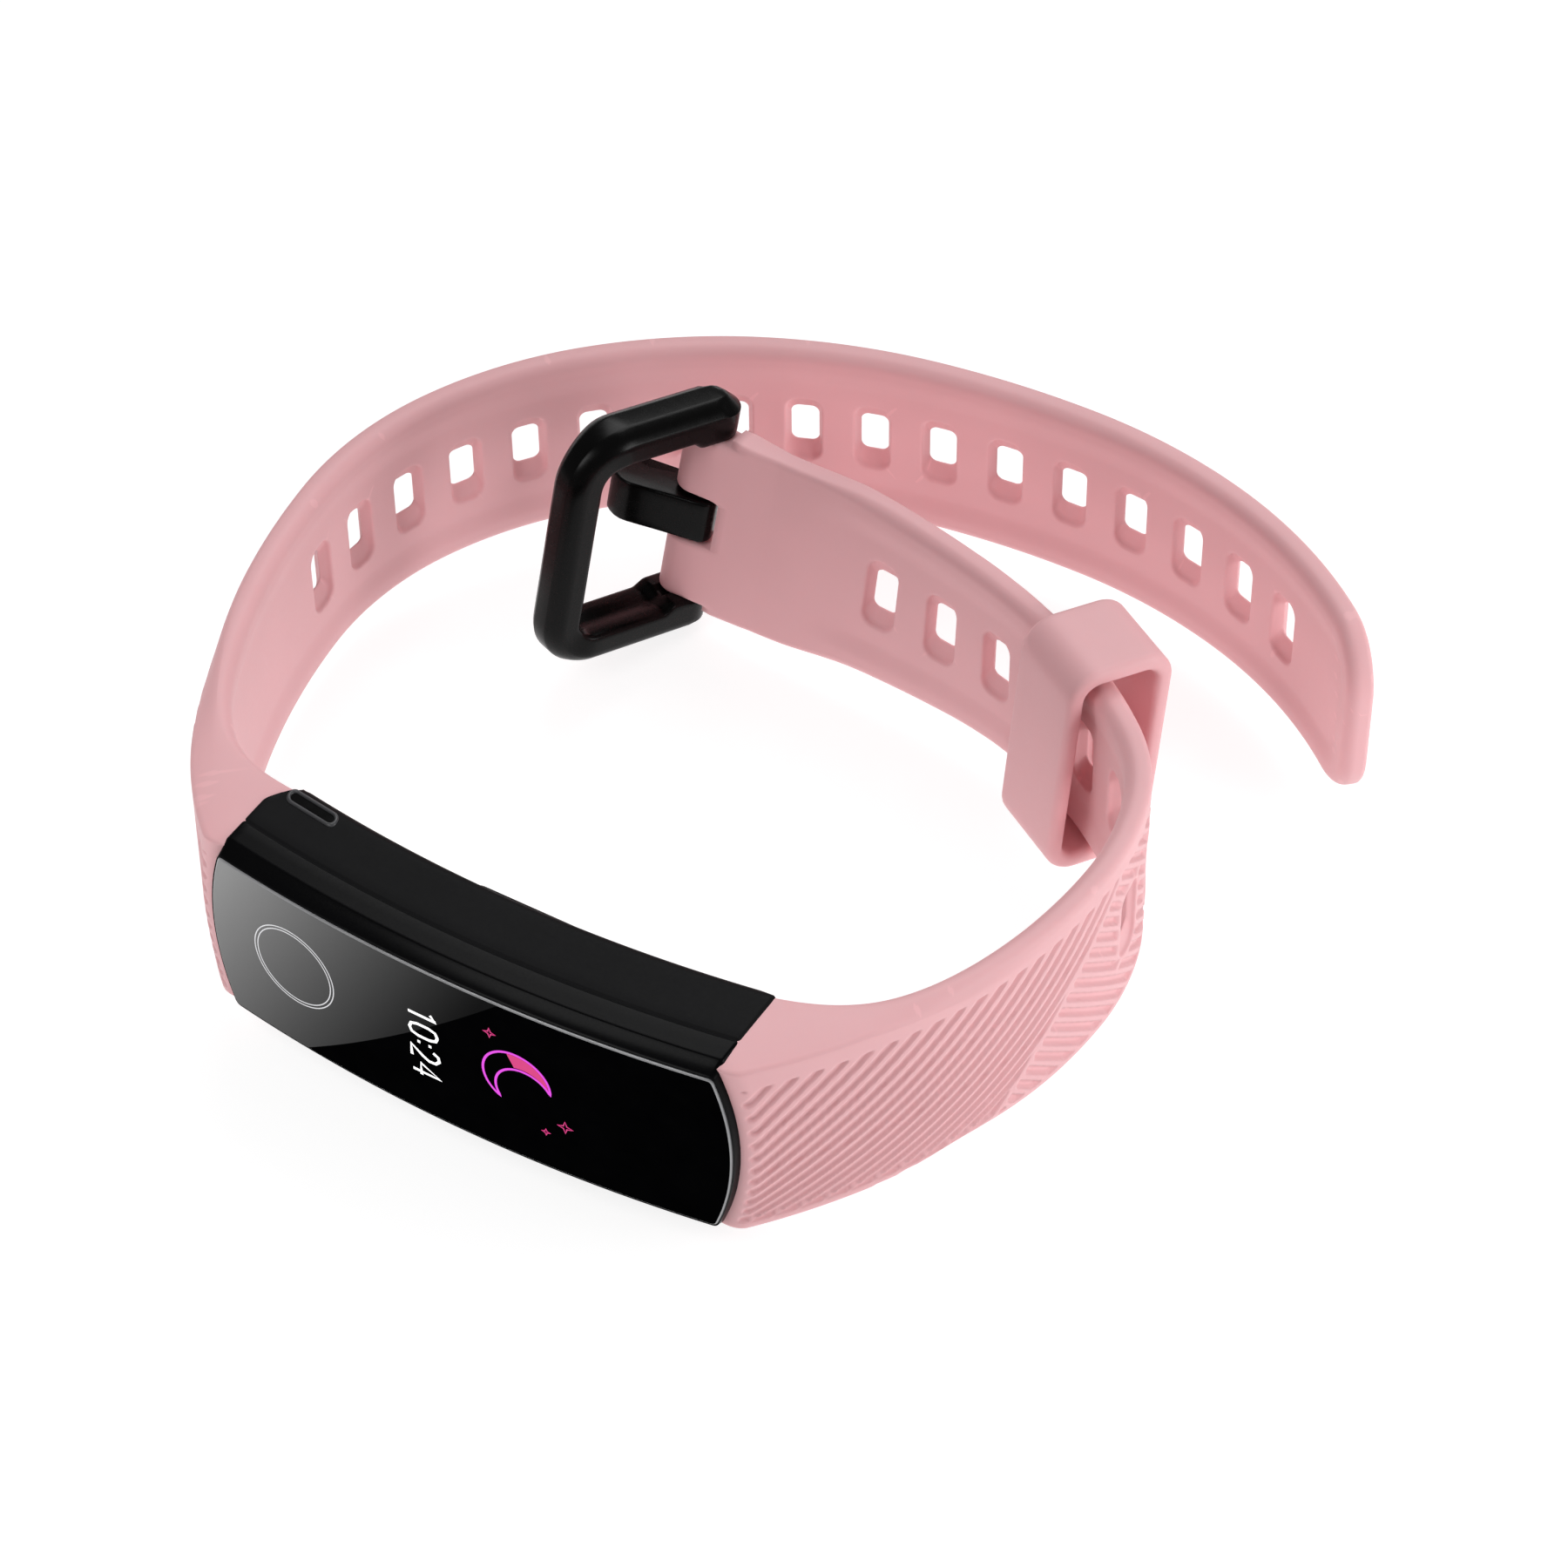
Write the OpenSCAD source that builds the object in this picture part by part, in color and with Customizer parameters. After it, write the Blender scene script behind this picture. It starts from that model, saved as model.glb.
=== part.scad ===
// Fitness tracker band: sealed display capsule, two silicone strap halves, keeper loop and pin buckle.
// The open band stands on its side edge: X runs along the capsule, Y from the display to the back of the loop,
// Z across the width of the strap.  Millimetres, real size.

/* [Capsule] */
// half length of the capsule
cap_x = 21.4; // [18:0.1:25]
// half width of the capsule
cap_z = 8.6; // [7:0.1:11]
// radius of the bow of the display glass along its length
bow_r = 130; // [80:1:250]
// depth of the front frame behind the front of the glass
front_d = 3.45; // [2:0.05:5]
// depth of the side faces behind the front of the glass
side_d = 8.7; // [7:0.1:10]
// depth of the raised middle of the back
back_d = 9.7; // [8:0.1:11]
// wall of the rear case
wall = 1.2; // [0.8:0.1:2]
// half width of the cover glass
glass_z = 7.8; // [6:0.1:9]

/* [Straps] */
// half width of both straps
strap_z = 8.2; // [7:0.1:10]
// strap thickness away from the capsule
strap_t = 2; // [1.5:0.1:3]
// extra strap thickness at the capsule
root_t = 7.3; // [3:0.1:9]
// number of holes in the long strap
long_holes = 17; // [8:1:20]
// pitch of the holes in the long strap
long_pitch = 5.8; // [4:0.1:8]
// number of holes in the short strap
short_holes = 8; // [3:1:8]
// pitch of the holes in the short strap
short_pitch = 6; // [4:0.1:8]
// width of a hole along the strap
hole_w = 2.4; // [1.5:0.1:4]
// height of a hole across the strap
hole_h = 3.6; // [2:0.1:6]

/* [Buckle] */
// lean of the buckle pin along the capsule, per unit of height
lean_x = 0.075; // [0:0.005:0.2]
// lean of the buckle pin away from the capsule, per unit of height
lean_y = 0.21; // [0:0.005:0.4]
// radius of the buckle pin
pin_r = 0.65; // [0.4:0.05:1]
// distance from the pin to the middle of the frame bar
frame_l = 12.8; // [8:0.1:16]
// thickness of the buckle frame
arm_w = 3; // [2:0.1:4]
// half height of the buckle frame
frame_z = 10.9; // [9:0.1:12]
// direction of the frame at rest
frame_a = 249.5; // [180:0.1:290]
// direction of the tang at rest
tang_a = 15; // [0:1:40]

/* [Keeper] */
// length of the keeper loop along the strap
keep_l = 7.6; // [5:0.1:12]
// free depth inside the keeper loop
keep_d = 6.2; // [4:0.1:8]
// half of the free height inside the keeper loop
keep_z = 8.55; // [8:0.05:10]
// wall of the keeper loop
keep_t = 1.4; // [1:0.1:2.5]
// lean of the keeper loop
keep_lean = 5; // [0:0.5:10]

/* [Hidden] */
$fn = 48;
e = 0.02;
yc = bow_r - 1.55;          // centre of the bowed surfaces
org = [-1.4165, -36.2675, 11.118]; // moves the drawing so that the origin is the middle of the footprint
pin_p = [-15.68, 56.1];      // buckle pin in plan
lug = [22.7, 6.2];          // strap pins at the capsule ends
// chains of [length, radius] along the outer faces of the straps
long_arcs = [[12,30],[14,68],[14,61],[14,28],[14,35],[14,45],[14,50],[14,75],[14,46],[14,39.4],[6.5,36]];
short_arcs = [[12,55.1],[12,45.4],[10,43],[8,22.8],[8,15.2],[22,40.9],[23,105]];
short_len = 95;
long_len = 144.5;

function walk(a, i, x, y, h, s, g) = i == len(a) ? [] :
    let (L = a[i][0], R = a[i][1], n = ceil(L / 1.6), A = L / R * 180 / PI,
         cx = x - R * g * sin(h), cy = y + R * g * cos(h), h1 = h + g * A)
    concat([for (j = [1:n]) let (f = j / n, q = h + g * A * f) [cx + R * g * sin(q), cy - R * g * cos(q), q, s + L * f]],
           walk(a, i + 1, cx + R * g * sin(h1), cy - R * g * cos(h1), h1, s + L, g));
LO = concat([[-cap_x, 0.2, 143.4, 0]], walk(long_arcs, 0, -cap_x, 0.2, 143.4, 0, -1));
SO = concat([[cap_x, 0.2, 46.5, 0]], walk(short_arcs, 0, cap_x, 0.2, 46.5, 0, 1));
function thick(s) = strap_t + root_t * exp(-pow(s / 8.7, 1.72));
function inner(p, g, t) = [p[0] - g * sin(p[2]) * t, p[1] + g * cos(p[2]) * t];
function at(P, s, i = 0) = (i >= len(P) - 2 || P[i + 1][3] >= s) ?
    let (f = (s - P[i][3]) / (P[i + 1][3] - P[i][3])) P[i] + f * (P[i + 1] - P[i]) : at(P, s, i + 1);

// [all, cover_glass, upper_frame, rear_case, strap_long, strap_short, keeper_loop, buckle_frame, buckle_tang]

module put() translate(org) children();

// slice between two depths behind the bowed front, limited in X and Z
module bow(d0, d1, hx, hz) translate([0, 0, -hz]) linear_extrude(2 * hz) intersection() {
    difference() {
        translate([0, yc]) circle(bow_r - d0, $fn = 360);
        translate([0, yc]) circle(bow_r - d1, $fn = 360);
    }
    translate([-hx, -3]) square([2 * hx, 20]);
}
module bow_x(d0, d1, x0, x1, hz) intersection() {
    bow(d0, d1, cap_x + 2, hz);
    translate([x0, -4, -hz - 1]) cube([x1 - x0, 24, 2 * hz + 2]);
}
// outline of the glass seen from the front, extruded along Y
module glass_outline(g) translate([0, 20, 0]) rotate([90, 0, 0]) linear_extrude(30) intersection() {
    translate([-23, -glass_z - g]) square([46, 2 * (glass_z + g)]);
    translate([-1.15, 0]) circle(23.2 + g, $fn = 180);
    translate([1.15, 0]) circle(23.2 + g, $fn = 180);
}
// outline of the capsule seen from the front, extruded along Y
module cap_outline() translate([0, 30, 0]) rotate([90, 0, 0]) linear_extrude(40) intersection() {
    translate([-23, -cap_z]) square([46, 2 * cap_z]);
    translate([-0.15, 0]) circle(22.6, $fn = 180);
    translate([0.15, 0]) circle(22.6, $fn = 180);
}
module box(x0, x1, y0, y1, z0, z1) translate([x0, y0, z0]) cube([x1 - x0, y1 - y0, z1 - z0]);
module rod(x, y, r, z0, z1) translate([x, y, z0]) cylinder(r = r, h = z1 - z0);
module peg(x, z, r, y0, y1) translate([x, y0, z]) rotate([-90, 0, 0]) cylinder(r = r, h = y1 - y0);

module cover_glass() put() color("black") intersection() { bow(0, 1, 23, 8); glass_outline(0); }
module glass_gasket() put() color("dimgray") intersection() {
    difference() { bow(1, 1.2, 23, 8); bow(0.5, 2, 20, 7.1); }
    glass_outline(0);
}
module touch_film() put() color("gray") bow(1, 1.15, 19.9, 7);
module display_panel() put() color("navy") bow_x(1.2, 2.3, -6, 19.7, 6.6);
module upper_frame() put() color([0.11, 0.11, 0.12]) difference() {
    intersection() { bow(0.75, front_d, 23, cap_z); cap_outline(); }
    intersection() { bow(-1, 1.2, 23, 9); glass_outline(0.03); }
    bow(1, 5, 20.1, 7.2);
}
module case_seal() put() color("darkslategray") difference() {
    bow(front_d, front_d + 0.6, 20.7, 7.9);
    bow(front_d - 1, front_d + 2, 20.1, 7.35);
}
module rear_case() put() color([0.16, 0.16, 0.17]) difference() {
    union() {
        intersection() { bow(front_d, side_d, 23, cap_z); cap_outline(); }
        bow(side_d - 1, back_d, cap_x - 1.4, 6.6);
        for (s = [-1, 1]) {
            box(s > 0 ? cap_x - 0.5 : -lug[0], s > 0 ? lug[0] : -cap_x + 0.5, lug[1] - 1.3, lug[1] + 1.3, -5, 5);
            rod(s * lug[0], lug[1], 1.35, -5, 5);
        }
    }
    bow(front_d - 1, side_d - wall, 19.9, 7.2);
    bow(front_d - 1, back_d - wall, 19.9, 5.4);
    bow(front_d - 1, front_d + 0.6, 20.7, 7.9);
    box(-5.85, 5.85, 4, 14, -4.75, 4.75);
    for (z = [-2.2, 2.2]) peg(-14.5, z, 0.9, 4, 14);
    for (s = [-1, 1]) {
        rod(s * lug[0], lug[1], 0.77, -6, 6);
        box(-18.6, -14.6, 6.1, 7.1, s > 0 ? cap_z - 0.5 : -cap_z - 1, s > 0 ? cap_z + 1 : -cap_z + 0.5);
    }
}
module sensor_window() put() color([0.1, 0.1, 0.1, 0.8]) difference() {
    box(-5.8, 5.8, 6.95, 9.95, -4.7, 4.7);
    box(-5.1, 5.1, 6, 8.9, -4, 4);
}
module sensor_board() put() color("darkgreen") box(-5, 5, 7.1, 7.6, -3.9, 3.9);
module sensor_leds() put() color("lime") for (s = [-1, 1]) box(s * 2.8 - 0.6, s * 2.8 + 0.6, 7.6, 8.2, -0.6, 0.6);
module photodiode() put() color("dimgray") box(-1.1, 1.1, 7.6, 8.2, -1.1, 1.1);
module charging_contacts() put() color("gold") for (z = [-2.2, 2.2]) peg(-14.5, z, 0.87, 7.4, 9.1);
module inner_frame() put() color("dimgray") difference() {
    union() {
        bow(2.4, 2.95, 19.8, 7.1);
        for (s = [-1, 1]) peg(-17.6, s * 5.6, 1, 1.4, 2.6);
    }
    bow(1.5, 4, 3, 5.5);
    for (s = [-1, 1]) peg(-17.6, s * 5.6, 0.5, 1, 5);
}
module main_board() put() color("darkgreen") difference() {
    box(-19.4, -1, 3.05, 3.65, -6.8, 6.8);
    for (s = [-1, 1]) peg(-17.6, s * 5.6, 0.55, 2, 5);
}
module processor_chip() put() color("black") box(-7.4, -3, 3.65, 4.35, -2.2, 2.2);
module memory_chip() put() color("black") box(-11.6, -8.6, 3.65, 4.25, -1.6, 1.6);
module radio_chip() put() color("black") box(-11.6, -9.2, 3.65, 4.2, 2.4, 4.2);
module motion_sensor() put() color("black") box(-6, -4, 3.65, 4.3, 3.8, 5.8);
module shield_can() put() color("silver") difference() {
    box(-12.4, -2.2, 3.65, 4.9, -4.9, 4.9 + 1.4);
    box(-12.2, -2.4, 3, 4.7, -4.7, 4.7 + 1.4);
}
module battery() put() color("silver") box(0, 19, 3.7, 6.5, -5.3, 5.3);
module battery_pad() put() color("white") box(1.2, 17.8, 3.1, 3.7, -4.8, 4.8);
module battery_leads() put() color("red") for (z = [-1.2, 1.2]) box(-2, 0, 3.65, 4.1, z - 0.3, z + 0.3);
module display_flex() put() color("orange") box(-2.6, 2.2, 2.85, 3.05, -2.5, 2.5);
module board_screws() put() color("silver") for (s = [-1, 1]) {
    peg(-17.6, s * 5.6, 0.48, 1.6, 3.7);
    peg(-17.6, s * 5.6, 0.85, 3.65, 4.05);
}
module motor_case() put() color("silver") difference() {
    rod(-15.4, 5.6, 1.7, -5.1, 1);
    rod(-15.4, 5.6, 0.45, -4.6, 2);
}
module motor_shaft() put() color("gray") rod(-15.4, 5.6, 0.4, -4.4, 4.6);
module motor_weight() put() color("goldenrod") difference() {
    rod(-15.4, 5.6, 1.6, 1.5, 4.6);
    rod(-15.4, 5.6, 0.4, 0, 6);
    box(-15.4, -12, 2, 9, 0, 6);
}
module strap_pin_long() put() color("silver") rod(-lug[0], lug[1], 0.75, -7.4, 7.4);
module strap_pin_short() put() color("silver") rod(lug[0], lug[1], 0.75, -7.4, 7.4);

module strap_plan(P, g, s0, s1) polygon(concat(
    [for (p = P) if (p[3] >= s0 && p[3] <= s1) [p[0], p[1]]],
    [for (i = [len(P) - 1:-1:0]) let (p = P[i]) if (p[3] >= s0 && p[3] <= s1) inner(p, g, thick(p[3]))]));
module root_trim(s) {
    cap_outline();
    box(s > 0 ? 20 : -lug[0] - 1.45, s > 0 ? lug[0] + 1.45 : -20, lug[1] - 1.45, lug[1] + 1.45, -5.05, 5.05);
    rod(s * lug[0], lug[1], 0.77, -7.5, 7.5);
}
module hole(P, g, s) let (p = at(P, s)) translate([p[0], p[1], 0]) rotate([0, 0, p[2]])
    box(-hole_w / 2, hole_w / 2, -6, 6, -hole_h / 2, hole_h / 2);
module pocket(P, g, s) let (p = at(P, s)) translate([p[0], p[1], 0]) rotate([0, 0, p[2]])
    box(-1.5, 1.5, g > 0 ? strap_t - 0.7 : -6, g > 0 ? 6 : 0.7 - strap_t, -2.7, 2.7);

module strap_long() put() color([0.91, 0.7, 0.72]) difference() {
    union() {
        translate([0, 0, -strap_z]) linear_extrude(2 * strap_z) strap_plan(LO, -1, 0, 138.01);
        intersection() {
            translate([0, 0, -strap_z]) linear_extrude(2 * strap_z) strap_plan(LO, -1, 135, long_len);
            let (p = at(LO, 137)) translate([p[0], p[1], 0]) rotate([0, 0, p[2]]) translate([0, 10, 0])
                rotate([90, 0, 0]) linear_extrude(20) {
                    translate([-6, -strap_z]) square([8.2, 2 * strap_z]);
                    translate([-6, -3.2]) square([13.1, 6.4]);
                    for (s = [-1, 1]) translate([2.2, s * (strap_z - 5)]) circle(5, $fn = 60);
                }
        }
    }
    root_trim(-1);
    for (i = [0:long_holes - 1]) { hole(LO, -1, 39 + i * long_pitch); pocket(LO, -1, 39 + i * long_pitch); }
}

// turns by a share of the lean of the buckle pin about a point of the plan
module tilt(f, p) translate([p[0], p[1], 0]) rotate([0, 0, -atan(lean_x / lean_y)])
    rotate([-f * atan(norm([lean_x, lean_y])), 0, 0]) rotate([0, 0, atan(lean_x / lean_y)])
    translate([-p[0], -p[1], 0]) children();
module short_plate(s0, s1) difference() {
    translate([0, 0, -strap_z]) linear_extrude(2 * strap_z) strap_plan(SO, 1, s0, s1);
    for (i = [0:short_holes - 1]) let (s = 38 + i * short_pitch) if (s > s0 + 1.5 && s < s1 - 1.5) {
        hole(SO, 1, s); pocket(SO, 1, s);
    }
}
module strap_short() put() color([0.91, 0.7, 0.72]) {
    difference() {
        union() {
            short_plate(0, 71.6);
            tilt(0.3, [9.6, 53.6]) short_plate(70, 77.5);
            tilt(0.65, [2, 55.2]) short_plate(75.5, 86.2);
            tilt(1, [-5.5, 56]) short_plate(82, 92);
            tilt(1, pin_p) difference() {
                union() {
                    box(pin_p[0] + 3.1, -7.6, 55.05, 57.05, -strap_z, strap_z);
                    box(pin_p[0], -8, 55.05, 57.05, -7.6, 7.6);
                    rod(pin_p[0], pin_p[1], 1.7, -7.6, 7.6);
                }
                rod(pin_p[0], pin_p[1], pin_r + 0.02, -12, 12);
                box(-22, pin_p[0] + 2.4, 50, 62, -2.2, 2.2);
            }
        }
        root_trim(1);
    }
}
// drawing in the plane of the buckle: X away from the pin
module at_pin(a) put() tilt(1, pin_p) translate([pin_p[0], pin_p[1], 0]) rotate([0, 0, a]) children();
module buckle_pin() color("silver") at_pin(0) cylinder(r = pin_r, h = 2 * 10.2, center = true);
module buckle_frame() color([0.06, 0.06, 0.06]) at_pin(frame_a) difference() {
    union() {
        for (s = [-1, 1]) translate([0, 0, s > 0 ? frame_z - 2.8 : -frame_z]) linear_extrude(2.8) {
            circle(2.2);
            translate([0, -arm_w / 2]) square([frame_l, arm_w]);
        }
        translate([frame_l - 1.4, -arm_w / 2, -frame_z]) cube([2.8, arm_w, 2 * frame_z]);
    }
    cylinder(r = pin_r + 0.03, h = 24, center = true);
}
module buckle_tang() color([0.08, 0.08, 0.08]) at_pin(tang_a) difference() {
    translate([0, 0, -1.85]) linear_extrude(3.7) {
        circle(1.9);
        translate([-4.9, -1.9]) square([4.9, 3]);
        translate([-4.9, 0.1]) circle(2);
        translate([-6.9, 0.1]) square([1.6, 2.2]);
    }
    cylinder(r = pin_r + 0.03, h = 6, center = true);
}
module keeper_loop() put() color([0.91, 0.7, 0.72]) let (p = at(SO, 58)) translate([p[0], p[1], 0])
    rotate([0, 0, p[2]]) translate([0, 0.45, 0]) rotate([keep_lean, 0, 0]) {
        difference() {
            box(-keep_l / 2, keep_l / 2, -keep_d / 2 - keep_t, keep_d / 2 + keep_t, -keep_z - keep_t, keep_z + keep_t);
            box(-keep_l, keep_l, -keep_d / 2, keep_d / 2, -keep_z, keep_z);
        }
        translate([0, -keep_d / 2 - 0.2, 0]) rotate([-90, 0, 0]) cylinder(r = 1.1, h = 0.8);
    }

cover_glass();
glass_gasket();
touch_film();
display_panel();
upper_frame();
case_seal();
rear_case();
sensor_window();
sensor_board();
sensor_leds();
photodiode();
charging_contacts();
inner_frame();
main_board();
processor_chip();
memory_chip();
radio_chip();
motion_sensor();
shield_can();
battery();
battery_pad();
battery_leads();
display_flex();
board_screws();
motor_case();
motor_shaft();
motor_weight();
strap_pin_long();
strap_pin_short();
strap_long();
strap_short();
keeper_loop();
buckle_pin();
buckle_frame();
buckle_tang();
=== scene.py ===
import bpy, bmesh, math
import numpy as np
from mathutils import Matrix, Vector

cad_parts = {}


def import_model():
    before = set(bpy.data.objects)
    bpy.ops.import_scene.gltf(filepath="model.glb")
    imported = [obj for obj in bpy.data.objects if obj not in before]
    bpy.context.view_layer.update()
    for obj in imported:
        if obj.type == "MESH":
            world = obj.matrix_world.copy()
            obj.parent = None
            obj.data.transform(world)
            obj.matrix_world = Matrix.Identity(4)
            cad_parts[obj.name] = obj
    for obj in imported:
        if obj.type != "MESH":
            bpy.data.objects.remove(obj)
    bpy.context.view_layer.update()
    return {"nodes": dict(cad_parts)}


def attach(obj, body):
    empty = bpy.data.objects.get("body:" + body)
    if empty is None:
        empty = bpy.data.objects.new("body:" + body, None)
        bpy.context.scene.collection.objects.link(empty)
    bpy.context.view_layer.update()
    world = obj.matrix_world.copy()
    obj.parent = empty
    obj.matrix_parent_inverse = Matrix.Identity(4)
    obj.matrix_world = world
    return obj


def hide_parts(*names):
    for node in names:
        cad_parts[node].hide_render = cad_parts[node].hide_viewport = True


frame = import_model()
NODES = frame["nodes"]

# Drawing frame in mm: x along the capsule, y from the glass into the loop, z across the strap.
ORG = np.array([-1.4165, -36.2675, 11.118])
YC = 128.45                      # centre of the bowed capsule surfaces, radius 130 - depth
SA = [[12, 55.1], [12, 45.4], [10, 43], [8, 22.8], [8, 15.2], [22, 40.9], [23, 105]]
LA = [[12, 30], [14, 68], [14, 61], [14, 28], [14, 35], [14, 45], [14, 50], [14, 75], [14, 46], [14, 39.4], [6.5, 36]]
PIN = np.array([-15.68, 56.1])
LEAN_X, LEAN_Y = 0.075, 0.21     # lean of the buckle pin per unit of height
LEAN = math.atan(math.hypot(LEAN_X, LEAN_Y))
LEAN_AX = np.array([-LEAN_Y, LEAN_X, 0]) / math.hypot(LEAN_X, LEAN_Y)


def lean(P, c, share=1.0):
    """turns points by a share of the lean of the buckle pin about the plan point c"""
    c = np.asarray(c, float)
    c3 = np.concatenate([np.broadcast_to(c, P.shape[:-1] + (2,)), np.zeros(P.shape[:-1] + (1,))], -1)
    q = P - c3
    a = (np.asarray(share, float) * LEAN)[..., None] if np.ndim(share) else share * LEAN
    k = (q @ LEAN_AX)[..., None]
    return c3 + q * np.cos(a) + np.cross(np.broadcast_to(LEAN_AX, q.shape), q) * np.sin(a) + LEAN_AX * k * (1 - np.cos(a))


def world(p):
    return (np.asarray(p, float) + ORG) * 0.001


def chain(arcs, x, y, h, g, s):
    s = np.asarray(s, float)
    X, Y, H = np.zeros_like(s), np.zeros_like(s), np.zeros_like(s)
    h, s0 = math.radians(h), 0.0
    for i, (L, r) in enumerate(arcs):
        cx, cy = x - r * g * math.sin(h), y + r * g * math.cos(h)
        mk = (s >= s0) if i else np.ones_like(s, bool)
        hh = h + g * (s - s0) / r
        X = np.where(mk, cx + r * g * np.sin(hh), X)
        Y = np.where(mk, cy - r * g * np.cos(hh), Y)
        H = np.where(mk, hh, H)
        h1 = h + g * L / r
        x, y = cx + r * g * math.sin(h1), cy - r * g * math.cos(h1)
        h, s0 = h1, s0 + L
    return X, Y, H


def short_curve(s):
    return chain(SA, 21.4, 0.2, 46.5, 1, s)


def long_curve(s):
    return chain(LA, -21.4, 0.2, 143.4, -1, s)


def sstep(a, b, x):
    t = np.clip((np.asarray(x, float) - a) / (b - a), 0, 1)
    return t * t * (3 - 2 * t)


def rbox(x, z, hx, hz, r):
    """signed distance to a rounded rectangle, negative inside"""
    qx, qz = np.abs(x) - (hx - r), np.abs(z) - (hz - r)
    return np.hypot(np.maximum(qx, 0), np.maximum(qz, 0)) + np.minimum(np.maximum(qx, qz), 0) - r


# ---------------------------------------------------------------- mesh helpers
def make_mesh(name, V, quads, tris=None, smooth=True, weld=0.0, sharp=None):
    me = bpy.data.meshes.new(name)
    V = world(V)
    quads = np.asarray(quads, np.int32).reshape(-1, 4)
    tris = np.zeros((0, 3), np.int32) if tris is None else np.asarray(tris, np.int32).reshape(-1, 3)
    me.vertices.add(len(V))
    me.vertices.foreach_set("co", V.astype(np.float32).ravel())
    loops = np.concatenate([quads.ravel(), tris.ravel()])
    me.loops.add(len(loops))
    me.loops.foreach_set("vertex_index", loops)
    me.polygons.add(len(quads) + len(tris))
    starts = np.concatenate([np.arange(len(quads)) * 4, len(quads) * 4 + np.arange(len(tris)) * 3]).astype(np.int32)
    me.polygons.foreach_set("loop_start", starts)
    me.update(calc_edges=True)
    me.validate()
    bm = bmesh.new()
    bm.from_mesh(me)
    if weld > 0:
        bmesh.ops.remove_doubles(bm, verts=bm.verts, dist=weld * 0.001)
        bmesh.ops.dissolve_degenerate(bm, edges=bm.edges, dist=1e-7)
    loose = [v for v in bm.verts if not v.link_faces]
    if loose:
        bmesh.ops.delete(bm, geom=loose, context="VERTS")
    bmesh.ops.recalc_face_normals(bm, faces=bm.faces)
    for f in bm.faces:
        f.smooth = smooth
    if sharp is not None:
        for e in bm.edges:
            if len(e.link_faces) == 2 and e.calc_face_angle(0) > math.radians(sharp):
                e.smooth = False
    bm.to_mesh(me)
    bm.free()
    ob = bpy.data.objects.new(name, me)
    bpy.context.scene.collection.objects.link(ob)
    return ob


def finish_piece(ob, body, mat, replaces=()):
    ob.data.materials.clear()
    ob.data.materials.append(mat)
    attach(ob, body)
    if replaces:
        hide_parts(*replaces)
    return ob


def loft(loops, closed_ring=True, cap0=True, cap1=True, join_ends=False):
    """loops: list of (n,3) arrays with the same n. Returns V, quads, tris"""
    n = len(loops[0])
    V = np.concatenate(loops)
    q = []
    K = len(loops)
    for k in range(K if join_ends else K - 1):
        a, b = k * n, ((k + 1) % K) * n
        i = np.arange(n if closed_ring else n - 1)
        j = (i + 1) % n
        q.append(np.stack([a + i, a + j, b + j, b + i], 1))
    q = np.concatenate(q)
    t = []
    if not join_ends:
        for cap, k in ((cap0, 0), (cap1, K - 1)):
            if cap:
                c = len(V)
                V = np.vstack([V, loops[k].mean(0)])
                i = np.arange(n)
                t.append(np.stack([k * n + i, k * n + (i + 1) % n, np.full(n, c)], 1))
    return V, q, (np.concatenate(t) if t else None)


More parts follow.
